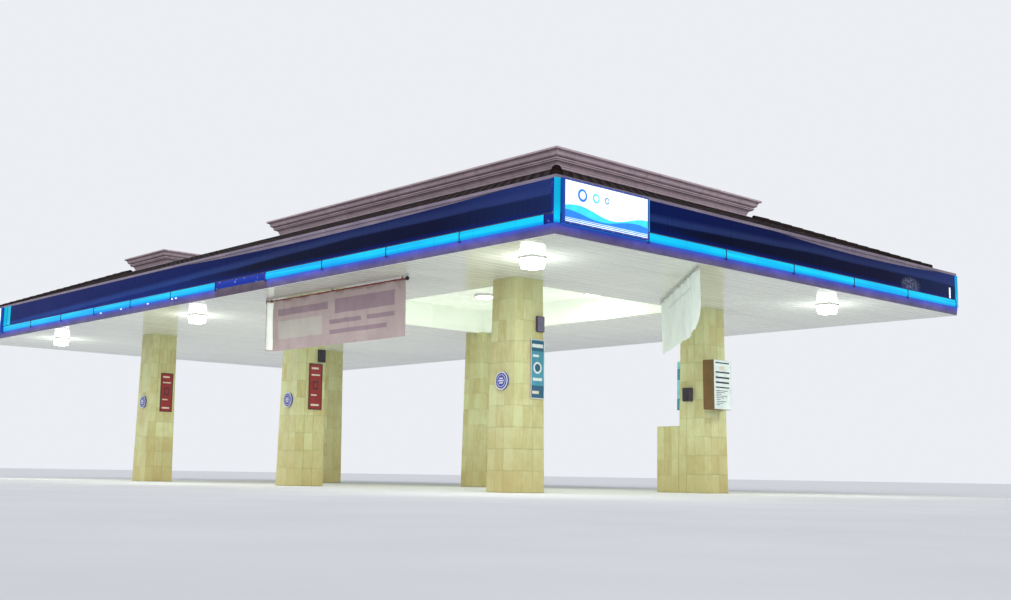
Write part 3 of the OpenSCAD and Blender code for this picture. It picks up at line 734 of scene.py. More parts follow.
def strip_details():
    """Caps, clips and seals along the light strips."""
    b = Build()

    def plate(f, u, half, d0, d1, z0, z1, name):
        b.box((u - half, d0, z0), (u + half, d1, z1), name, f)

    zc = (STRIP + SHEET) / 2
    cap = [(-0.027, STRIP - 0.004), (-0.032, zc - 0.05), (-0.032, zc + 0.05), (-0.027, SHEET + 0.004),
           (0.03, SHEET + 0.004), (0.03, STRIP - 0.004)]
    for s in range(4):
        f = on_side(s)
        n = MODULES[s % 2]
        for k in range(n + 1):
            u = joint(s, k)
            b.prism(cap, u - 0.009, u + 0.009, "cap", lambda d, z, w: f(w, d, z))
            if 0 < k < n:
                for e in (-0.035, 0.035):
                    plate(f, u + e, 0.012, -0.026, 0.002, STRIP - 0.03, STRIP - 0.006, "cap")
                plate(f, u, 0.02, -0.012, 0.002, STRIP - 0.052, STRIP - 0.034, "cap")
        # A dark seal above the strip.
        plate(f, 0, side_len(s) / 2 - POST, -0.006, 0.0, SHEET + 0.002, SHEET + 0.022, "dark")
        # Joint covers on the trim, beside the joints of the modules.
        for k in range(n + 1):
            u = joint(s, k) + (0.12 if k < n else -0.12)
            plate(f, u, 0.03, -0.004, 0.006, STRIP - 0.07, STRIP - 0.004, "trim")
        # Covers over the coping joints.
        for k in range(1, n):
            plate(f, joint(s, k), 0.05, -0.004, 0.004, NOSE - 0.004, TOP + 0.003, "coping")
            plate(f, joint(s, k), 0.05, -0.004, 0.30, TOP - 0.001, TOP + 0.003, "coping")
    # Bright screw heads under the front strip, left of the failed module, in the glowing sign white as
    # painted glints.
    for k in (4.2, 4.76, 5.45, 6.04, 6.13):
        plate(on_side(0), joint(0, k), 0.035, -0.02, 0.002, STRIP - 0.045, STRIP - 0.008, "sign_face")
    # A short white marker tube near the far end of the right face.
    f = on_side(1)
    u = side_len(1) / 2 - 0.44
    plate(f, u, 0.035, -0.014, 0.001, SHEET + 0.015, SHEET + 0.33, "white")
    plate(f, u, 0.024, -0.022, -0.013, SHEET + 0.03, SHEET + 0.315, "sign_face")
    b.piece("strip_details")


def sign_art():
    """A plain motif of two waves and three discs on each sign."""
    b = Build()
    face, lip = -0.108, 0.006
    d1, d2, d3 = face - 0.003, face - 0.006, face - 0.009
    h0, h1 = STRIP + SIGN_RIM, NOSE - SIGN_RIM
    w = SIGN_W - 2 * SIGN_RIM

    def level(z):
        return lambda t: z

    def swell(share, size, start):
        return lambda t: h0 + (h1 - h0) * (share + size * sin(2.4 * pi * t + start))

    bands = ((level(h0 + 0.002), level(h1 - 0.002), face + 0.001, d1, "sign_face"),
             (level(h0 + 0.09), swell(0.34, 0.10, 0.5), d1, d2, "sign_cyan"),
             (level(h0 + 0.09), swell(0.22, 0.07, 1.5), d2, d3, "sign_blue"),
             (level(h0 + 0.06), level(h0 + 0.078), d1, d2, "sign_blue"),
             (level(h0 + 0.024), level(h0 + 0.042), d1, d2, "sign_blue"))
    discs = ((0.20, 0.135, "sign_blue"), (0.36, 0.10, "sign_cyan"), (0.49, 0.07, "sign_blue"))
    for s in range(4):
        f = on_side(s)
        u0 = -side_len(s) / 2 + POST + 0.01 + SIGN_RIM
        u1 = u0 + w

        def put(u, z, d):
            return f(u, d, z)

        for low, high, da, db, name in bands:
            for a, e in spans(0, 1, 48, 0):
                pts = [put(u0 + w * t, edge(t), d) for d in (da, db) for t in (a, e) for edge in (low, high)]
                b.add(pts, PAIRS, name)
        for share, r, name in discs:
            mid = (u0 + w * share, h0 + (h1 - h0) * 0.70)
            b.disc(mid, (r, r), d1, d2, name, put)
            b.disc(mid, (r * 0.62, r * 0.62), d2, d3, "sign_face", put)
        # Blue retaining frame with screws.
        out0, out1, low, high = u0 - SIGN_RIM, u1 + SIGN_RIM, h0 - SIGN_RIM, h1 + SIGN_RIM
        for a, c, e, g in ((out0, low, out1, h0 + lip), (out0, h1 - lip, out1, high),
                           (out0, h0, u0 + lip, h1), (u1 - lip, h0, out1, h1)):
            b.box((a, d2, c), (e, -0.1, g), "sign_frame", f)
        for k in range(8):
            for z in (h0 - 0.018, h1 + 0.018):
                u = u0 + w * (k + 0.5) / 8
                b.box((u - 0.008, d3, z - 0.008), (u + 0.008, face - 0.005, z + 0.008), "clip", f)
    b.piece("sign_art")


def roof_tiles(s):
    """Clay pan tiles in courses on one slope, cut along its hips."""
    run_in, right, left = RUNS[s], RUNS[(s + 1) % 4], RUNS[(s + 3) % 4]
    start, segments = 0.30, 5
    half = side_len(s) / 2
    slope = (deck_hi.z - EAVE) / (run_in - SETBACK)
    foot = EAVE + slope * (start - SETBACK)
    ln = hypot(run_in - start, slope * (run_in - start))
    cosb = (run_in - start) / ln
    sinb = slope * cosb
    courses = round(ln / 0.34)
    n = int(2 * (half - start) / 0.31)
    pitch = 2 * (half - start) / n
    hump = [0.030 * (0.5 - 0.5 * cos(2 * pi * j / segments)) ** 1.3 for j in range(segments + 1)]
    f = on_side(s)
    bm = bmesh.new()
    rnd = random.Random(40 + s)
    for r in range(courses):
        q0 = ln * r / courses - 0.02
        q1 = ln * (r + 1) / courses + 0.05
        deep = start + max(0, q0) * cosb
        for k in range(n):
            uc = -(half - start) + (k + 0.5) * pitch
            end = (right if uc > 0 else left) - SETBACK
            if abs(uc) - pitch > half - SETBACK - (deep - SETBACK) * end / (run_in - SETBACK):
                continue
            lift = rnd.uniform(0, 0.006)
            skew = rnd.uniform(-0.006, 0.006)
            rows = []
            # The nose, its rounding and the tail of a tile, then the underside of the nose.
            for q, base, share in ((q0, 0.018, 1), (q0 + 0.004, 0.026, 1), (q1, 0.006, 1), (q0, 0.0, 0.9)):
                row = []
                for j in range(segments + 1):
                    u = uc + (j / segments - 0.5) * (pitch + 0.012) + skew * (q - q0) / 0.4
                    h = base + lift + share * hump[j]
                    point = f(u, start + q * cosb - h * sinb, foot + q * sinb + h * cosb)
                    row.append(bm.verts.new(point))
                rows.append(row)
            rows.insert(0, rows.pop())
            for a, c in zip(rows, rows[1:]):
                for j in range(segments):
                    bm.faces.new((a[j], a[j + 1], c[j + 1], c[j]))

    def plan(u, d):
        return Vector(f(u, d, 0))

    # Cut along both hips and upright at both ends.
    for sg, end in ((-1, left), (1, right)):
        across_hip = plan(sg * (run_in - SETBACK), end - SETBACK) - plan(0, 0)
        outwards = plan(sg, 0) - plan(0, 0)
        hip, tip = plan(sg * (half - SETBACK), SETBACK), plan(sg * (half - start), 0)
        for co, no in ((hip, across_hip), (tip, outwards)):
            geom = bm.verts[:] + bm.edges[:] + bm.faces[:]
            bmesh.ops.bisect_plane(bm, geom=geom, plane_co=co, plane_no=no, clear_outer=True)
    me = bpy.data.meshes.new("tiles")
    bmesh.ops.recalc_face_normals(bm, faces=bm.faces)
    for fc in bm.faces:
        fc.smooth = True
    bm.to_mesh(me)
    bm.free()
    me.materials.append(MATS["roof"])
    o = bpy.data.objects.new("roof_tiles_" + ("front", "right", "back", "left")[s], me)
    scene.collection.objects.link(o)
    sol = o.modifiers.new("thick", "SOLIDIFY")
    sol.thickness = 0.012
    sol.offset = -1
    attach(o, "root")


def hip_caps():
    """Overlapping half-round caps bedded on the hip rolls."""
    b = Build()
    rnd = random.Random(11)
    seg = 12
    m = seg + 1
    shell = []
    for j in range(seg):
        shell += [(j, j + 1, 2 * m + j + 1, 2 * m + j), (m + j, 3 * m + j, 3 * m + j + 1, m + j + 1),
                  (j, m + j, m + j + 1, j + 1), (2 * m + j, 2 * m + j + 1, 3 * m + j + 1, 3 * m + j)]
    shell += [(0, 2 * m, 3 * m, m), (seg, m + seg, 3 * m + seg, 2 * m + seg)]
    for sx in (-1, 1):
        for sy in (-1, 1):
            rx, ry = RUNS[1 if sx > 0 else 3] - SETBACK, RUNS[2 if sy > 0 else 0] - SETBACK
            v = Vector((-sx * rx, -sy * ry, deck_hi.z - EAVE))
            foot = Vector((sx * (XR - SETBACK), sy * (YB - SETBACK), EAVE + 0.02))
            p0 = foot + v * (0.34 / min(rx, ry))
            p1 = foot + v * (1 - 0.27 / v.length)
            ax = (p1 - p0).normalized()
            side = ax.cross(Vector((0, 0, 1))).normalized()
            up = side.cross(ax)

            def arc(p, r, over=0.0):
                """Half a turn round the hip, longer by the share over at both ends."""
                turns = [pi * (-over + (1 + 2 * over) * j / seg) for j in range(m)]
                return [p + side * (r * cos(t)) + up * (r * sin(t)) for t in turns]

            total = (p1 - p0).length
            for a, c in spans(0, total, round(total / 0.36), -0.03):
                r0, r1, thick = 0.117 + rnd.uniform(0, 0.004), 0.103, 0.014
                vs = []
                for at, r in ((a, r0), (a, r0 - thick), (c, r1), (c, r1 - thick)):
                    vs += arc(p0 + ax * at, r, 0.04)
                b.add(vs, shell, "roof")
            # A closing cap at the low end.
            ring = arc(p0 - ax * 0.03, 0.112)
            b.add([p0 - ax * 0.055 + up * 0.06] + ring, [(0, j + 1, j + 2) for j in range(seg)], "roof")
    b.piece("hip_caps")


def deck_details():
    """Lapped rolls of membrane, and the flashing at the head of the slopes."""
    b = Build()
    lo, hi = deck_lo, deck_hi
    lap, edge = 0.05, 0.1
    for a, e in spans(lo.x, hi.x, round(hi.x - lo.x), 0):
        start = a - lap if a > lo.x else a
        prof = [(start, 0.0005), (e, 0.0005), (e, 0.004), (a + lap, 0.006), (start, 0.0085)]
        b.prism(prof, lo.y, hi.y, "deck", lambda u, h, q: (u, q, hi.z + h))
    for y in (lo.y, hi.y):
        b.box((lo.x - edge, y - edge, hi.z + 0.001), (hi.x + edge, y + edge, hi.z + 0.012), "deck")
    for x in (lo.x, hi.x):
        b.box((x - edge, lo.y - edge, hi.z + 0.001), (x + edge, hi.y + edge, hi.z + 0.011), "deck")
    b.piece("deck_membrane")


def cornice_caps():
    """Thin capping on the rim of each block."""
    b = Build()
    w = 0.60
    for n in ("cornice_large", "cornice_small"):
        lo, hi = box(n)
        y0, y1 = lo.y + w, hi.y - w
        for xa, ya, xb, yb in ((lo.x, lo.y, hi.x, y0), (lo.x, y1, hi.x, hi.y),
                               (lo.x, y0, lo.x + w, y1), (hi.x - w, y0, hi.x, y1)):
            b.box((xa, ya, hi.z - 0.004), (xb, yb, hi.z + 0.003), "cornice")
    b.piece("cornice_caps")


def find_lamps():
    """For each lens: its middle, half its width, its foot and head, and whether it is in the recess."""
    bm = bmesh.new()
    bm.from_mesh(nodes["lamp_lenses"].data)
    bmesh.ops.remove_doubles(bm, verts=bm.verts, dist=0.0005)
    todo = set(bm.verts)
    found = []
    while todo:
        stack, lens = [todo.pop()], []
        while stack:
            v = stack.pop()
            lens.append(v.co[:])
            near = {e.other_vert(v) for e in v.link_edges} & todo
            todo -= near
            stack += near
        (x0, x1), (y0, y1), (z0, z1) = [(min(c), max(c)) for c in zip(*lens)]
        mid = (round((x0 + x1) / 2, 3), round((y0 + y1) / 2, 3))
        found.append((*mid, (x1 - x0) / 2, z0, z1, z1 > SOFFIT + 0.1))
    bm.free()
    return sorted(found)


def lamp_details(lamps):
    b = Build()
    edge = 0.23
    for cx, cy, half, z0, z1, high in lamps:

        def bit(x, y, wx, wy, low, top, name):
            b.box((cx + x - wx, cy + y - wy, z1 + low), (cx + x + wx, cy + y + wy, z1 + top), name)

        if high:
            for k in range(6):
                an = pi * 2 * k / 6
                bit(0.30 * cos(an), 0.30 * sin(an), 0.012, 0.012, -0.056, -0.040, "clip")
            continue
        # Frame lip, a latch on two sides and a screw at each corner.
        lip, latch, screw = half + 0.012, edge + 0.002, edge - 0.012
        for sg in (1, -1):
            bit(sg * lip, 0, 0.012, half + 0.024, -0.014, 0.001, "lamp_frame")
            bit(sg * latch, 0, 0.008, 0.03, 0.004, 0.034, "clip")
            bit(0, sg * lip, half, 0.012, -0.014, 0.001, "lamp_frame")
        for sx in (-1, 1):
            for sy in (-1, 1):
                bit(sx * screw, sy * screw, 0.009, 0.009, -0.003, 0.001, "clip")
    b.piece("lamp_details")


class Board:
    """A board beside the right face of a column, or the left one where side is -1.

    On it u and v run from 0 to 1 across and upwards, and d is the distance from its face."""

    def __init__(self, build, col, side, off, w, z0, h, depth):
        mid, half = column(col)
        self.build, self.side, self.w, self.z0, self.h = build, side, w, z0, h
        self.x, self.y = mid.x + side * (half.x + depth), mid.y + off

    def put(self, u, v, d):
        z = self.z0 + v * self.h
        lean = BATTER * z / SOFFIT
        return (self.x + self.side * (d - lean), self.y + (u - 0.5) * self.w * self.side, z)

    def layer(self, u0, v0, u1, v1, d0, d1, name):
        self.build.box((u0, v0, d0), (u1, v1, d1), name, self.put)

    def coat(self, k, u0, v0, u1, v1, name, t=0.002):
        """Layer k of those that lie on the face, counted from 0."""
        self.layer(u0, v0, u1, v1, k * t, (k + 1) * t, name)

    def rim(self, t, d, name):
        a, c = t / self.w, t / self.h
        for bar in ((0, 0, 1, c), (0, 1 - c, 1, 1), (0, c, a, 1 - c), (1 - a, c, 1, 1 - c)):
            self.layer(*bar, -0.004, d, name)


def red_boards(b):
    """Mostly plain, with small pale marks."""
    for col, z0 in (("column_front_left", 2.45), ("column_front_middle", 2.26)):
        f = Board(b, col, 1, 0.15, 0.46, z0, BOARD_H, 0.03)
        f.rim(0.02, 0.01, "board_dark")
        f.coat(0, 0.05, 0.02, 0.95, 0.98, "board")
        for v0, v1, u1 in ((0.88, 0.92, 0.7), (0.74, 0.77, 0.82), (0.30, 0.33, 0.6), (0.08, 0.12, 0.78)):
            f.coat(1, 0.16, v0, u1, v1, "board_pale")
        f.coat(1, 0.30, 0.44, 0.70, 0.62, "board_dark")
        f.coat(2, 0.36, 0.47, 0.64, 0.59, "board")


def poster(b):
    """A pale disc over bands on teal."""
    f = Board(b, "column_front_right", 1, 0.26, 0.46, 2.26, 1.45, 0.03)
    f.rim(0.016, 0.01, "board_white")
    f.coat(0, 0.04, 0.015, 0.96, 0.985, "board_teal")
    f.coat(1, 0.04, 0.80, 0.96, 0.97, "board_deep")
    f.coat(2, 0.10, 0.86, 0.90, 0.92, "board_white")
    f.coat(1, 0.04, 0.02, 0.96, 0.22, "board_deep")
    f.coat(2, 0.12, 0.08, 0.60, 0.13, "board_pale")
    b.disc((0.5, 0.52), (0.30, 0.10), 0.002, 0.004, "board_white", f.put)
    b.disc((0.5, 0.52), (0.20, 0.067), 0.004, 0.006, "board_deep", f.put)
    f.coat(1, 0.16, 0.30, 0.84, 0.35, "board_white")
    f.coat(1, 0.16, 0.70, 0.60, 0.74, "board_white")


def list_box(b):
    """A deep box with a pale face and dark rows."""
    f = Board(b, "column_back_right", 1, -0.13, 0.78, 2.32, BOARD_H, 0.38)
    f.rim(0.03, 0.012, "board_white")
    f.coat(0, 0.04, 0.02, 0.96, 0.98, "board_white", 0.003)
    for v0, v1, u1 in ((0.93, 0.955, 0.88), (0.735, 0.765, 0.9), (0.625, 0.66, 0.88), (0.525, 0.56, 0.86),
                       (0.43, 0.455, 0.88)):
        f.coat(1, 0.10, v0, u1, v1, "board_dark", 0.003)
    for k in range(9):
        v, length = 0.08 + 0.036 * k, 0.2 + 0.5 * ((k * 37 % 11) / 11)
        f.layer(0.12, v, 0.12 + length, v + 0.012, 0.003, 0.005, "speaker")
    f.layer(0.30, 0.80, 0.62, 0.88, 0.003, 0.005, "board_pale")
    # Sheets on the four sides of the box, the upright ones in two lengths, in a dark brown that is partly
    # painted shade of the sides.
    for u0, u1 in ((-0.006, 0.0), (1.0, 1.006)):
        for v0, v1 in ((-0.003, 0.497), (0.503, 1.003)):
            f.layer(u0, v0, u1, v1, -0.36, 0.002, "board_brown")
    for v0, v1 in ((-0.003, 0.0), (1.0, 1.003)):
        f.layer(0.0, v0, 1.0, v1, -0.36, 0.002, "board_brown")


def teal_board(b):
    f = Board(b, "column_back_right", -1, 0.0, 0.78, 2.32, BOARD_H, 0.13)
    f.rim(0.03, 0.012, "board_white")
    f.coat(0, 0.04, 0.02, 0.96, 0.98, "board_teal", 0.003)
    f.layer(-0.03, 1.0, 1.03, 1.02, -0.12, 0.03, "board_white")
    for v0, v1 in ((0.72, 0.9), (0.42, 0.62), (0.12, 0.32)):
        f.coat(1, 0.12, v0, 0.88, v1, "board_white", 0.003)
    # Its edges, wrapped in a pale sheet that stands a little proud.
    lengths = ((0.0, 0.24, "board_teal"), (0.246, 0.62, "board_sky"), (0.626, 0.86, "board_teal"),
               (0.866, 1.0, "board_sky"))
    for u0, u1 in ((-0.08, 0.0), (1.0, 1.08)):
        for v0, v1, name in lengths:
            f.layer(u0, v0, u1, v1, -0.11, 0.004, name)


def board_faces():
    b = Build()
    red_boards(b)
    poster(b)
    list_box(b)
    teal_board(b)
    b.piece("board_faces")


def plaque_faces():
    """Two rings and three bars on each round plaque."""
    b = Build()
    discs = ((0.218, -0.002, 0.004, "white"), (0.192, 0.004, 0.007, "plaque"),
             (0.150, 0.007, 0.009, "white"), (0.138, 0.009, 0.011, "plaque"))
    for n, pz in (("column_front_right", 2.67), ("column_front_middle", 2.53), ("column_front_left", 2.78)):
        mid, half = column(n)
        y = mid.y - half.y + BATTER * (pz + 0.22) / SOFFIT - 0.06

        def put(u, v, d):
            return (mid.x + 0.03 + u, y - d, pz + v)

        for r, d0, d1, name in discs:
            b.disc((0, 0), (r, r), d0, d1, name, put)
        for z, w in ((0.055, 0.075), (0.0, 0.105), (-0.055, 0.075)):
            bar = [(-w, z - 0.014), (w - 0.02, z - 0.014), (w, z + 0.014), (0.02 - w, z + 0.014)]
            b.prism(bar, 0.011, 0.014, "white", put)
    b.piece("plaque_faces")


def speaker_grilles():
    """A frame with slats on the front of each speaker."""
    b = Build()

    def grille(w0, z0, slat, put):
        """From w0 across and z0 up on the face, where put(w, z, d) gives a point d in front of it."""
        w1, z1, bar = w0 + SPEAKER_W, z0 + SPEAKER_H, 0.012
        for a, c, e, g in ((w0, z0, w0 + bar, z1), (w1 - bar, z0, w1, z1),
                           (w0, z0, w1, z0 + bar), (w0, z1 - bar, w1, z1)):
            b.box((a, c, -0.002), (e, g, 0.006), "speaker", put)
        for k in range(23):
            z = z0 + 0.018 + k * 0.0152
            b.box((w0 + bar, z, 0), (w1 - bar, z + 0.007, 0.004), slat, put)

    # The pale slats on the front right column are a lighter copy of the grille, standing for painted light.
    for col, z0, slat in (("column_front_right", 3.90, "speaker_painted_light"),
                          ("column_front_middle", 3.69, "grille")):
        mid, half = column(col)
        x = mid.x + half.x - BATTER * z0 / SOFFIT + 0.07
        grille(mid.y + half.y - 0.06 - SPEAKER_W, z0, slat, lambda w, z, d: (x + d, w, z))
    mid, half = column("column_back_right")
    z0 = 2.55
    y = mid.y - half.y + BATTER * z0 / SOFFIT - 0.18
    grille(mid.x - 0.08 - SPEAKER_W / 2, z0, "grille", lambda w, z, d: (w, y - d, z))
    b.piece("speaker_grilles")


# Banners: cloth hung from eyelets on the rails

def settle(o, wind, seed):
    """Lets the cloth hang in a light wind and keeps the shape that it comes to."""
    w = bpy.data.objects.new(o.name + "_air", None)
    scene.collection.objects.link(w)
    bpy.context.view_layer.objects.active = w
    w.select_set(True)
    bpy.ops.object.forcefield_toggle()
    w.field.type = "WIND"
    w.field.strength = 60.0
    w.field.flow = 0.6
    w.field.noise = 1.5
    w.field.seed = seed
    w.rotation_euler = wind.to_track_quat("Z", "Y").to_euler()
    scene.frame_start, scene.frame_end = 1, 44
    for fr in range(1, 45):
        scene.frame_set(fr)
    dg = bpy.context.evaluated_depsgraph_get()
    me = bpy.data.meshes.new_from_object(o.evaluated_get(dg))
    o.modifiers.clear()
    o.data = me
    bpy.data.objects.remove(w)
    scene.frame_set(1)


def unit(v, spare):
    """The direction of v, or the spare one where v has no length."""
    return v.normalized() if v.length > 1e-6 else spare


def cloth_piece(node, name, width, height, origin, direction, seed, wind, mats, zones,
                curl=0.0, corner=None):
    """A sheet hung from origin along direction. Each zone is i0, i1, j0, j1 and its place in mats."""
    top = SOFFIT - 0.085
    origin, ax = Vector(origin), Vector(direction).normalized()
    nr = Vector((-ax.y, ax.x, 0))
    nx, nz = 150, 36
    row = nx + 1
    rnd = random.Random(seed)
    ph = [rnd.uniform(0, 6.28) for _ in range(3)]

    def wave(s):
        ripple = sin(s * 7.3 + ph[0]) + 0.7 * sin(s * 12.1 + ph[1]) + 0.5 * sin(s * 3.1 + ph[2])
        return 0.016 * ripple

    # Places along the rail that are equally far apart on the wavy cloth.
    xs, acc, q, step = [0.0], 0.0, 0.0, 0.0005
    target = width / nx
    while len(xs) < row:
        acc += hypot(step, wave(q + step) - wave(q))
        q += step
        if acc >= target * len(xs):
            xs.append(q)
    shift = (width - xs[-1]) / 2
    vs, fs = [], []
    for j in range(nz + 1):
        for x in xs:
            run, out = x + shift, wave(x)
            if x < curl:
                # The loose edge rolls back on itself, more so towards the foot.
                radius = 0.10 - 0.03 * j / nz
                turn = (curl - x) / radius
                run = curl + shift - radius * sin(turn)
                out = wave(curl) - radius * (1 - cos(turn))
            p = origin + ax * run + nr * out
            vs.append((p.x, p.y, top - height * j / nz))
    for j in range(nz):
        for i in range(nx):
            a = j * row + i
            fs.append((a, a + 1, a + row + 1, a + row))
    me = bpy.data.meshes.new(name)
    me.from_pydata(vs, [], fs)
    o = bpy.data.objects.new(name, me)
    scene.collection.objects.link(o)
    grp = o.vertex_groups.new(name="pin")
    eyes = list(range(0, row, 10))
    for e in eyes:
        grp.add([e], 1.0, "REPLACE")
    st = o.modifiers.new("cloth", "CLOTH").settings
    st.quality = 7
    st.mass = 0.3
    st.tension_stiffness = st.compression_stiffness = 60
    st.shear_stiffness = 15
    st.bending_stiffness = 0.6
    st.air_damping = 1.5
    st.vertex_group_mass = "pin"
    settle(o, wind, seed)
    if corner:
        # The lower near corner stays bent out and up.
        reach, rise, swing, lift = corner
        for k, v in enumerate(o.data.vertices):
            along, down = xs[k % row], height * (k // row) / nz
            if along < reach and down > height - rise:
                bend = (1 - along / reach) * ((down - height + rise) / rise) ** 2.2
                v.co += nr * (swing * bend) + Vector((0, 0, lift * bend))
    for m in mats:
        o.data.materials.append(MATS[m])
    idx = [0] * (nx * nz)
    for i0, i1, j0, j1, m in zones:
        for j in range(j0, j1):
            idx[j * nx + i0:j * nx + i1] = [m] * (i1 - i0)
    o.data.polygons.foreach_set("material_index", idx)
    o.data.polygons.foreach_set("use_smooth", [True] * len(idx))
    pts = [v.co.copy() for v in o.data.vertices]
    b = Build()
    hem_band(b, pts, nx, nz, ax, nr, mats[0])
    for e in eyes:
        tie(b, origin + ax * (Vector((pts[e].x, pts[e].y, 0)) - origin).dot(ax), ax, nr)
    hem = b.piece(name + "_hem")
    sol = o.modifiers.new("thick", "SOLIDIFY")
    sol.thickness = 0.002
    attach(o, "root")
    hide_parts(node)


def hem_band(b, pts, nx, nz, ax, nr, name):
    """A hem around the cloth, following its edge."""
    row = nx + 1
    edge = [j * row for j in range(nz + 1)] + [nz * row + i for i in range(1, row)]
    edge += [j * row + nx for j in range(nz - 1, -1, -1)] + list(range(nx - 1, 0, -1))
    count = len(edge)
    vs, fs = [], []
    for k, e in enumerate(edge):
        t = unit(pts[edge[(k + 1) % count]] - pts[edge[k - 1]], ax)
        n = unit(nr - t * nr.dot(t), nr)
        thick, wide = n * 0.0035, t.cross(n) * 0.016
        vs += [pts[e] + thick * u + wide * v for u, v in ((1, 1), (1, -1), (-1, -1), (-1, 1))]
        a, c = 4 * k, 4 * ((k + 1) % count)
        fs += [(a + m, a + (m + 1) % 4, c + (m + 1) % 4, c + m) for m in range(4)]
    b.add(vs, fs, name)


def tie(b, place, ax, nr):
    """A small ring round the rail."""
    loop = []
    for k in range(10):
        t = 2 * pi * k / 10
        loop.append(place + nr * (0.030 * cos(t)) + Vector((0, 0, RAIL_Z - 0.002 + 0.032 * sin(t))))
    for k, a in enumerate(loop):
        c = loop[(k + 1) % 10]
        o1, o2 = ax * 0.004, (c - a).normalized().cross(ax) * 0.004
        square = ((1, 1), (-1, 1), (-1, -1), (1, -1))
        b.add([p + o1 * u + o2 * v for p in (a, c) for u, v in square], RINGS, "rail")


def rail_ends(lo, hi, y):
    """A ball at each end of the front rail."""
    b = Build()
    r, seg = 0.05, 14

    def ring(x, t):
        spin = [2 * pi * j / seg for j in range(seg)]
        wide = r * sin(t)
        return [(x - r * cos(t), y + wide * cos(a), RAIL_Z + wide * sin(a)) for a in spin]

    for x in (lo.x - r, hi.x + r):
        for a, e in spans(0, pi, 8, 0):
            faces = [(j, (j + 1) % seg, seg + (j + 1) % seg, seg + j) for j in range(seg)]
            b.add(ring(x, a) + ring(x, e), faces, "grille")
    b.piece("rail_ends", smooth=True)


def banners():
    """The front one runs left from its near end, with print as plain bands. The side one is turned."""
    lo, hi = box("banner_front")
    y = (lo.y + hi.y) / 2
    zones = [(0, 7, 0, 36, 2), (12, 70, 6, 11, 1), (78, 140, 5, 15, 1), (12, 64, 15, 28, 3),
             (72, 106, 19, 22, 1), (112, 140, 19, 22, 1), (72, 132, 26, 29, 1)]
    mats = ["banner_pink", "print", "banner_curl_painted_light", "print_soft"]
    cloth_piece("banner_front", "banner_cloth_front", 6.30, BANNER_H, (lo.x, y, 0), (1, 0, 0), 3,
                Vector((0, 1, 0.1)), mats, zones, 0.26)
    rail_ends(lo, hi, y)
    lo, hi = box("banner_side")
    width, turn = 5.75, radians(180 - 41.5)
    way = Vector((cos(turn), sin(turn), 0))
    mid = (lo + hi) / 2
    start = Vector((mid.x, mid.y, 0)) - way * (width / 2)
    cloth_piece("banner_side", "banner_cloth_side", width, BANNER_H, start, way, 5,
                Vector((0.6, 1, 0)), ["banner", "print_pale"], [(24, 118, 6, 8, 1)],
                corner=(1.4, 0.6, 0.13, 0.04))


def camera():
    """As fitted to the photo, placed from the near corner of the canopy."""
    heading, pitch, roll = radians(47.48), radians(8.17), radians(0.91)
    focal, picture = 1217.8, 1011
    cd = bpy.data.cameras.new("camera")
    cam = bpy.data.objects.new("camera", cd)
    scene.collection.objects.link(cam)
    scene.camera = cam
    cd.sensor_width = 36
    cd.lens = focal * 36 / picture
    cd.clip_end = 900
    fwd = Vector((-sin(heading) * cos(pitch), cos(heading) * cos(pitch), sin(pitch)))
    level = Vector((cos(heading), sin(heading), 0))
    rise = level.cross(fwd)
    right = level * cos(roll) + rise * sin(roll)
    up = -level * sin(roll) + rise * cos(roll)
    place = Vector((XR + 16.90, YF - 16.82, 0.42))
    cam.matrix_world = Matrix([*zip(right, up, -fwd, place), (0, 0, 0, 1)])


def floor():
    a = Mat("floor", 0.9, spec=0.0)
    a.done(a.ramp(a.noise(0.4, 4), (0.3, 222, 221, 219), (0.7, 228, 227, 225)))
    far = 400
    me = bpy.data.meshes.new("floor")
    me.from_pydata([(-far, -far, 0), (far, -far, 0), (far, far, 0), (-far, far, 0)], [], [(0, 1, 2, 3)])
    me.materials.append(a.m)
    floor = bpy.data.objects.new("floor", me)
    scene.collection.objects.link(floor)


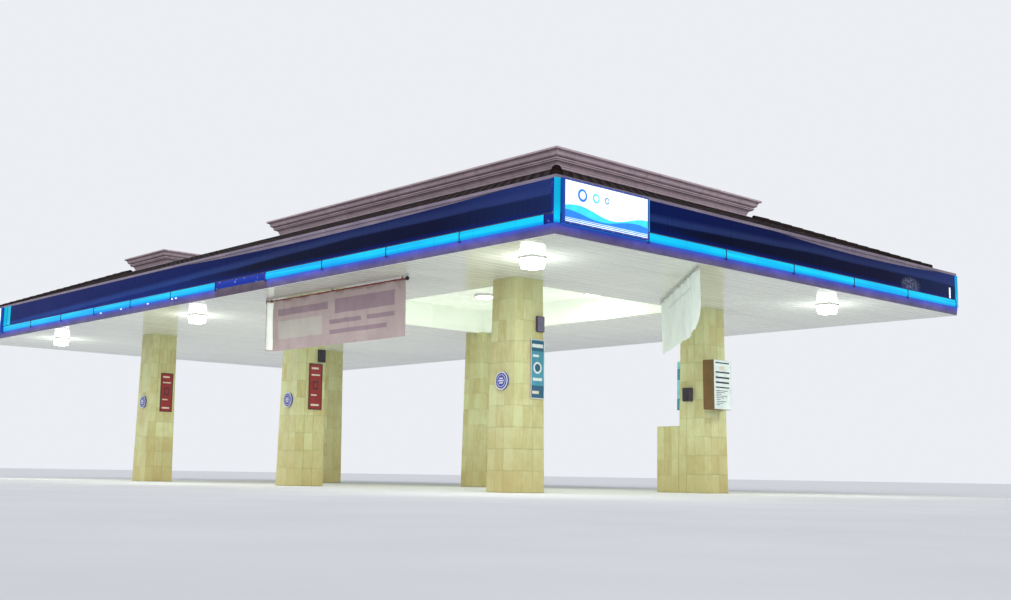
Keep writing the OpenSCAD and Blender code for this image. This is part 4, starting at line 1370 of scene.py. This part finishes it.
def world():
    """A bluish sky as light, and a paler one where it is seen directly or in a mirror."""
    w = bpy.data.worlds.new("world")
    scene.world = w
    w.use_nodes = True
    g = Graph(w.node_tree)
    sky, pale = g.t.nodes["Background"], g.node("ShaderNodeBackground")
    for n, colour, strength in ((sky, (0.80, 0.86, 1.0, 1), 0.6), (pale, (0.84, 0.86, 0.90, 1), 1.0)):
        n.inputs[0].default_value = colour
        n.inputs[1].default_value = strength
    path = g.node("ShaderNodeLightPath")
    seen = path.outputs["Is Camera Ray"]
    for ray in ("Is Transmission Ray", "Is Glossy Ray"):
        seen = g.math("ADD", seen, path.outputs[ray], clamp=True)
    both = g.node("ShaderNodeMixShader")
    for sock, v in zip(both.inputs, (seen, sky.outputs[0], pale.outputs[0])):
        g.put(sock, v)
    g.put(g.t.nodes["World Output"].inputs["Surface"], both.outputs[0])


def light(name, kind, energy, colour, place=None, aim=None, **shape):
    """A light with a place is hidden from the camera and from mirrors."""
    ld = bpy.data.lights.new(name, kind)
    ld.energy = energy
    ld.color = colour
    for k, v in shape.items():
        setattr(ld, k, v)
    o = bpy.data.objects.new(name, ld)
    scene.collection.objects.link(o)
    if place:
        o.location = place
        o.visible_camera = False
        o.visible_glossy = False
    if aim:
        o.rotation_euler = Vector(aim).to_track_quat("-Z", "Y").to_euler()


def lights(lamps):
    light("sun_key", "SUN", 1.5, (1, 0.97, 0.93), aim=(-0.75, 0.62, -0.55), angle=radians(60))
    light("sun_fill", "SUN", 0.7, (0.92, 0.95, 1), aim=(0.5, 0.8, -0.7), angle=radians(80))
    light("under", "AREA", 600, (1.0, 1.0, 0.96), (0, 0, 0.02), (0, 0, 1),
          shape="RECTANGLE", size=29, size_y=13.5)
    for k, (cx, cy, half, z0, z1, high) in enumerate(lamps):
        light(f"lamp_{k}", "AREA", 45 if high else 60, (0.95, 1.0, 0.94), (cx, cy, z0 - 0.02),
              shape="DISK", size=2 * half)
        if not high:
            light(f"halo_{k}", "POINT", 60, (0.96, 1.0, 0.95), (cx, cy, z0 - 0.4), shadow_soft_size=0.25)


cladding()
soffit_panels()
recess_lining()
strip_details()
sign_art()
for side in range(4):
    roof_tiles(side)
hip_caps()
deck_details()
cornice_caps()
lamps = find_lamps()
lamp_details(lamps)
board_faces()
plaque_faces()
speaker_grilles()
banners()
camera()
floor()
world()
lights(lamps)
scene.view_settings.view_transform = "Standard"
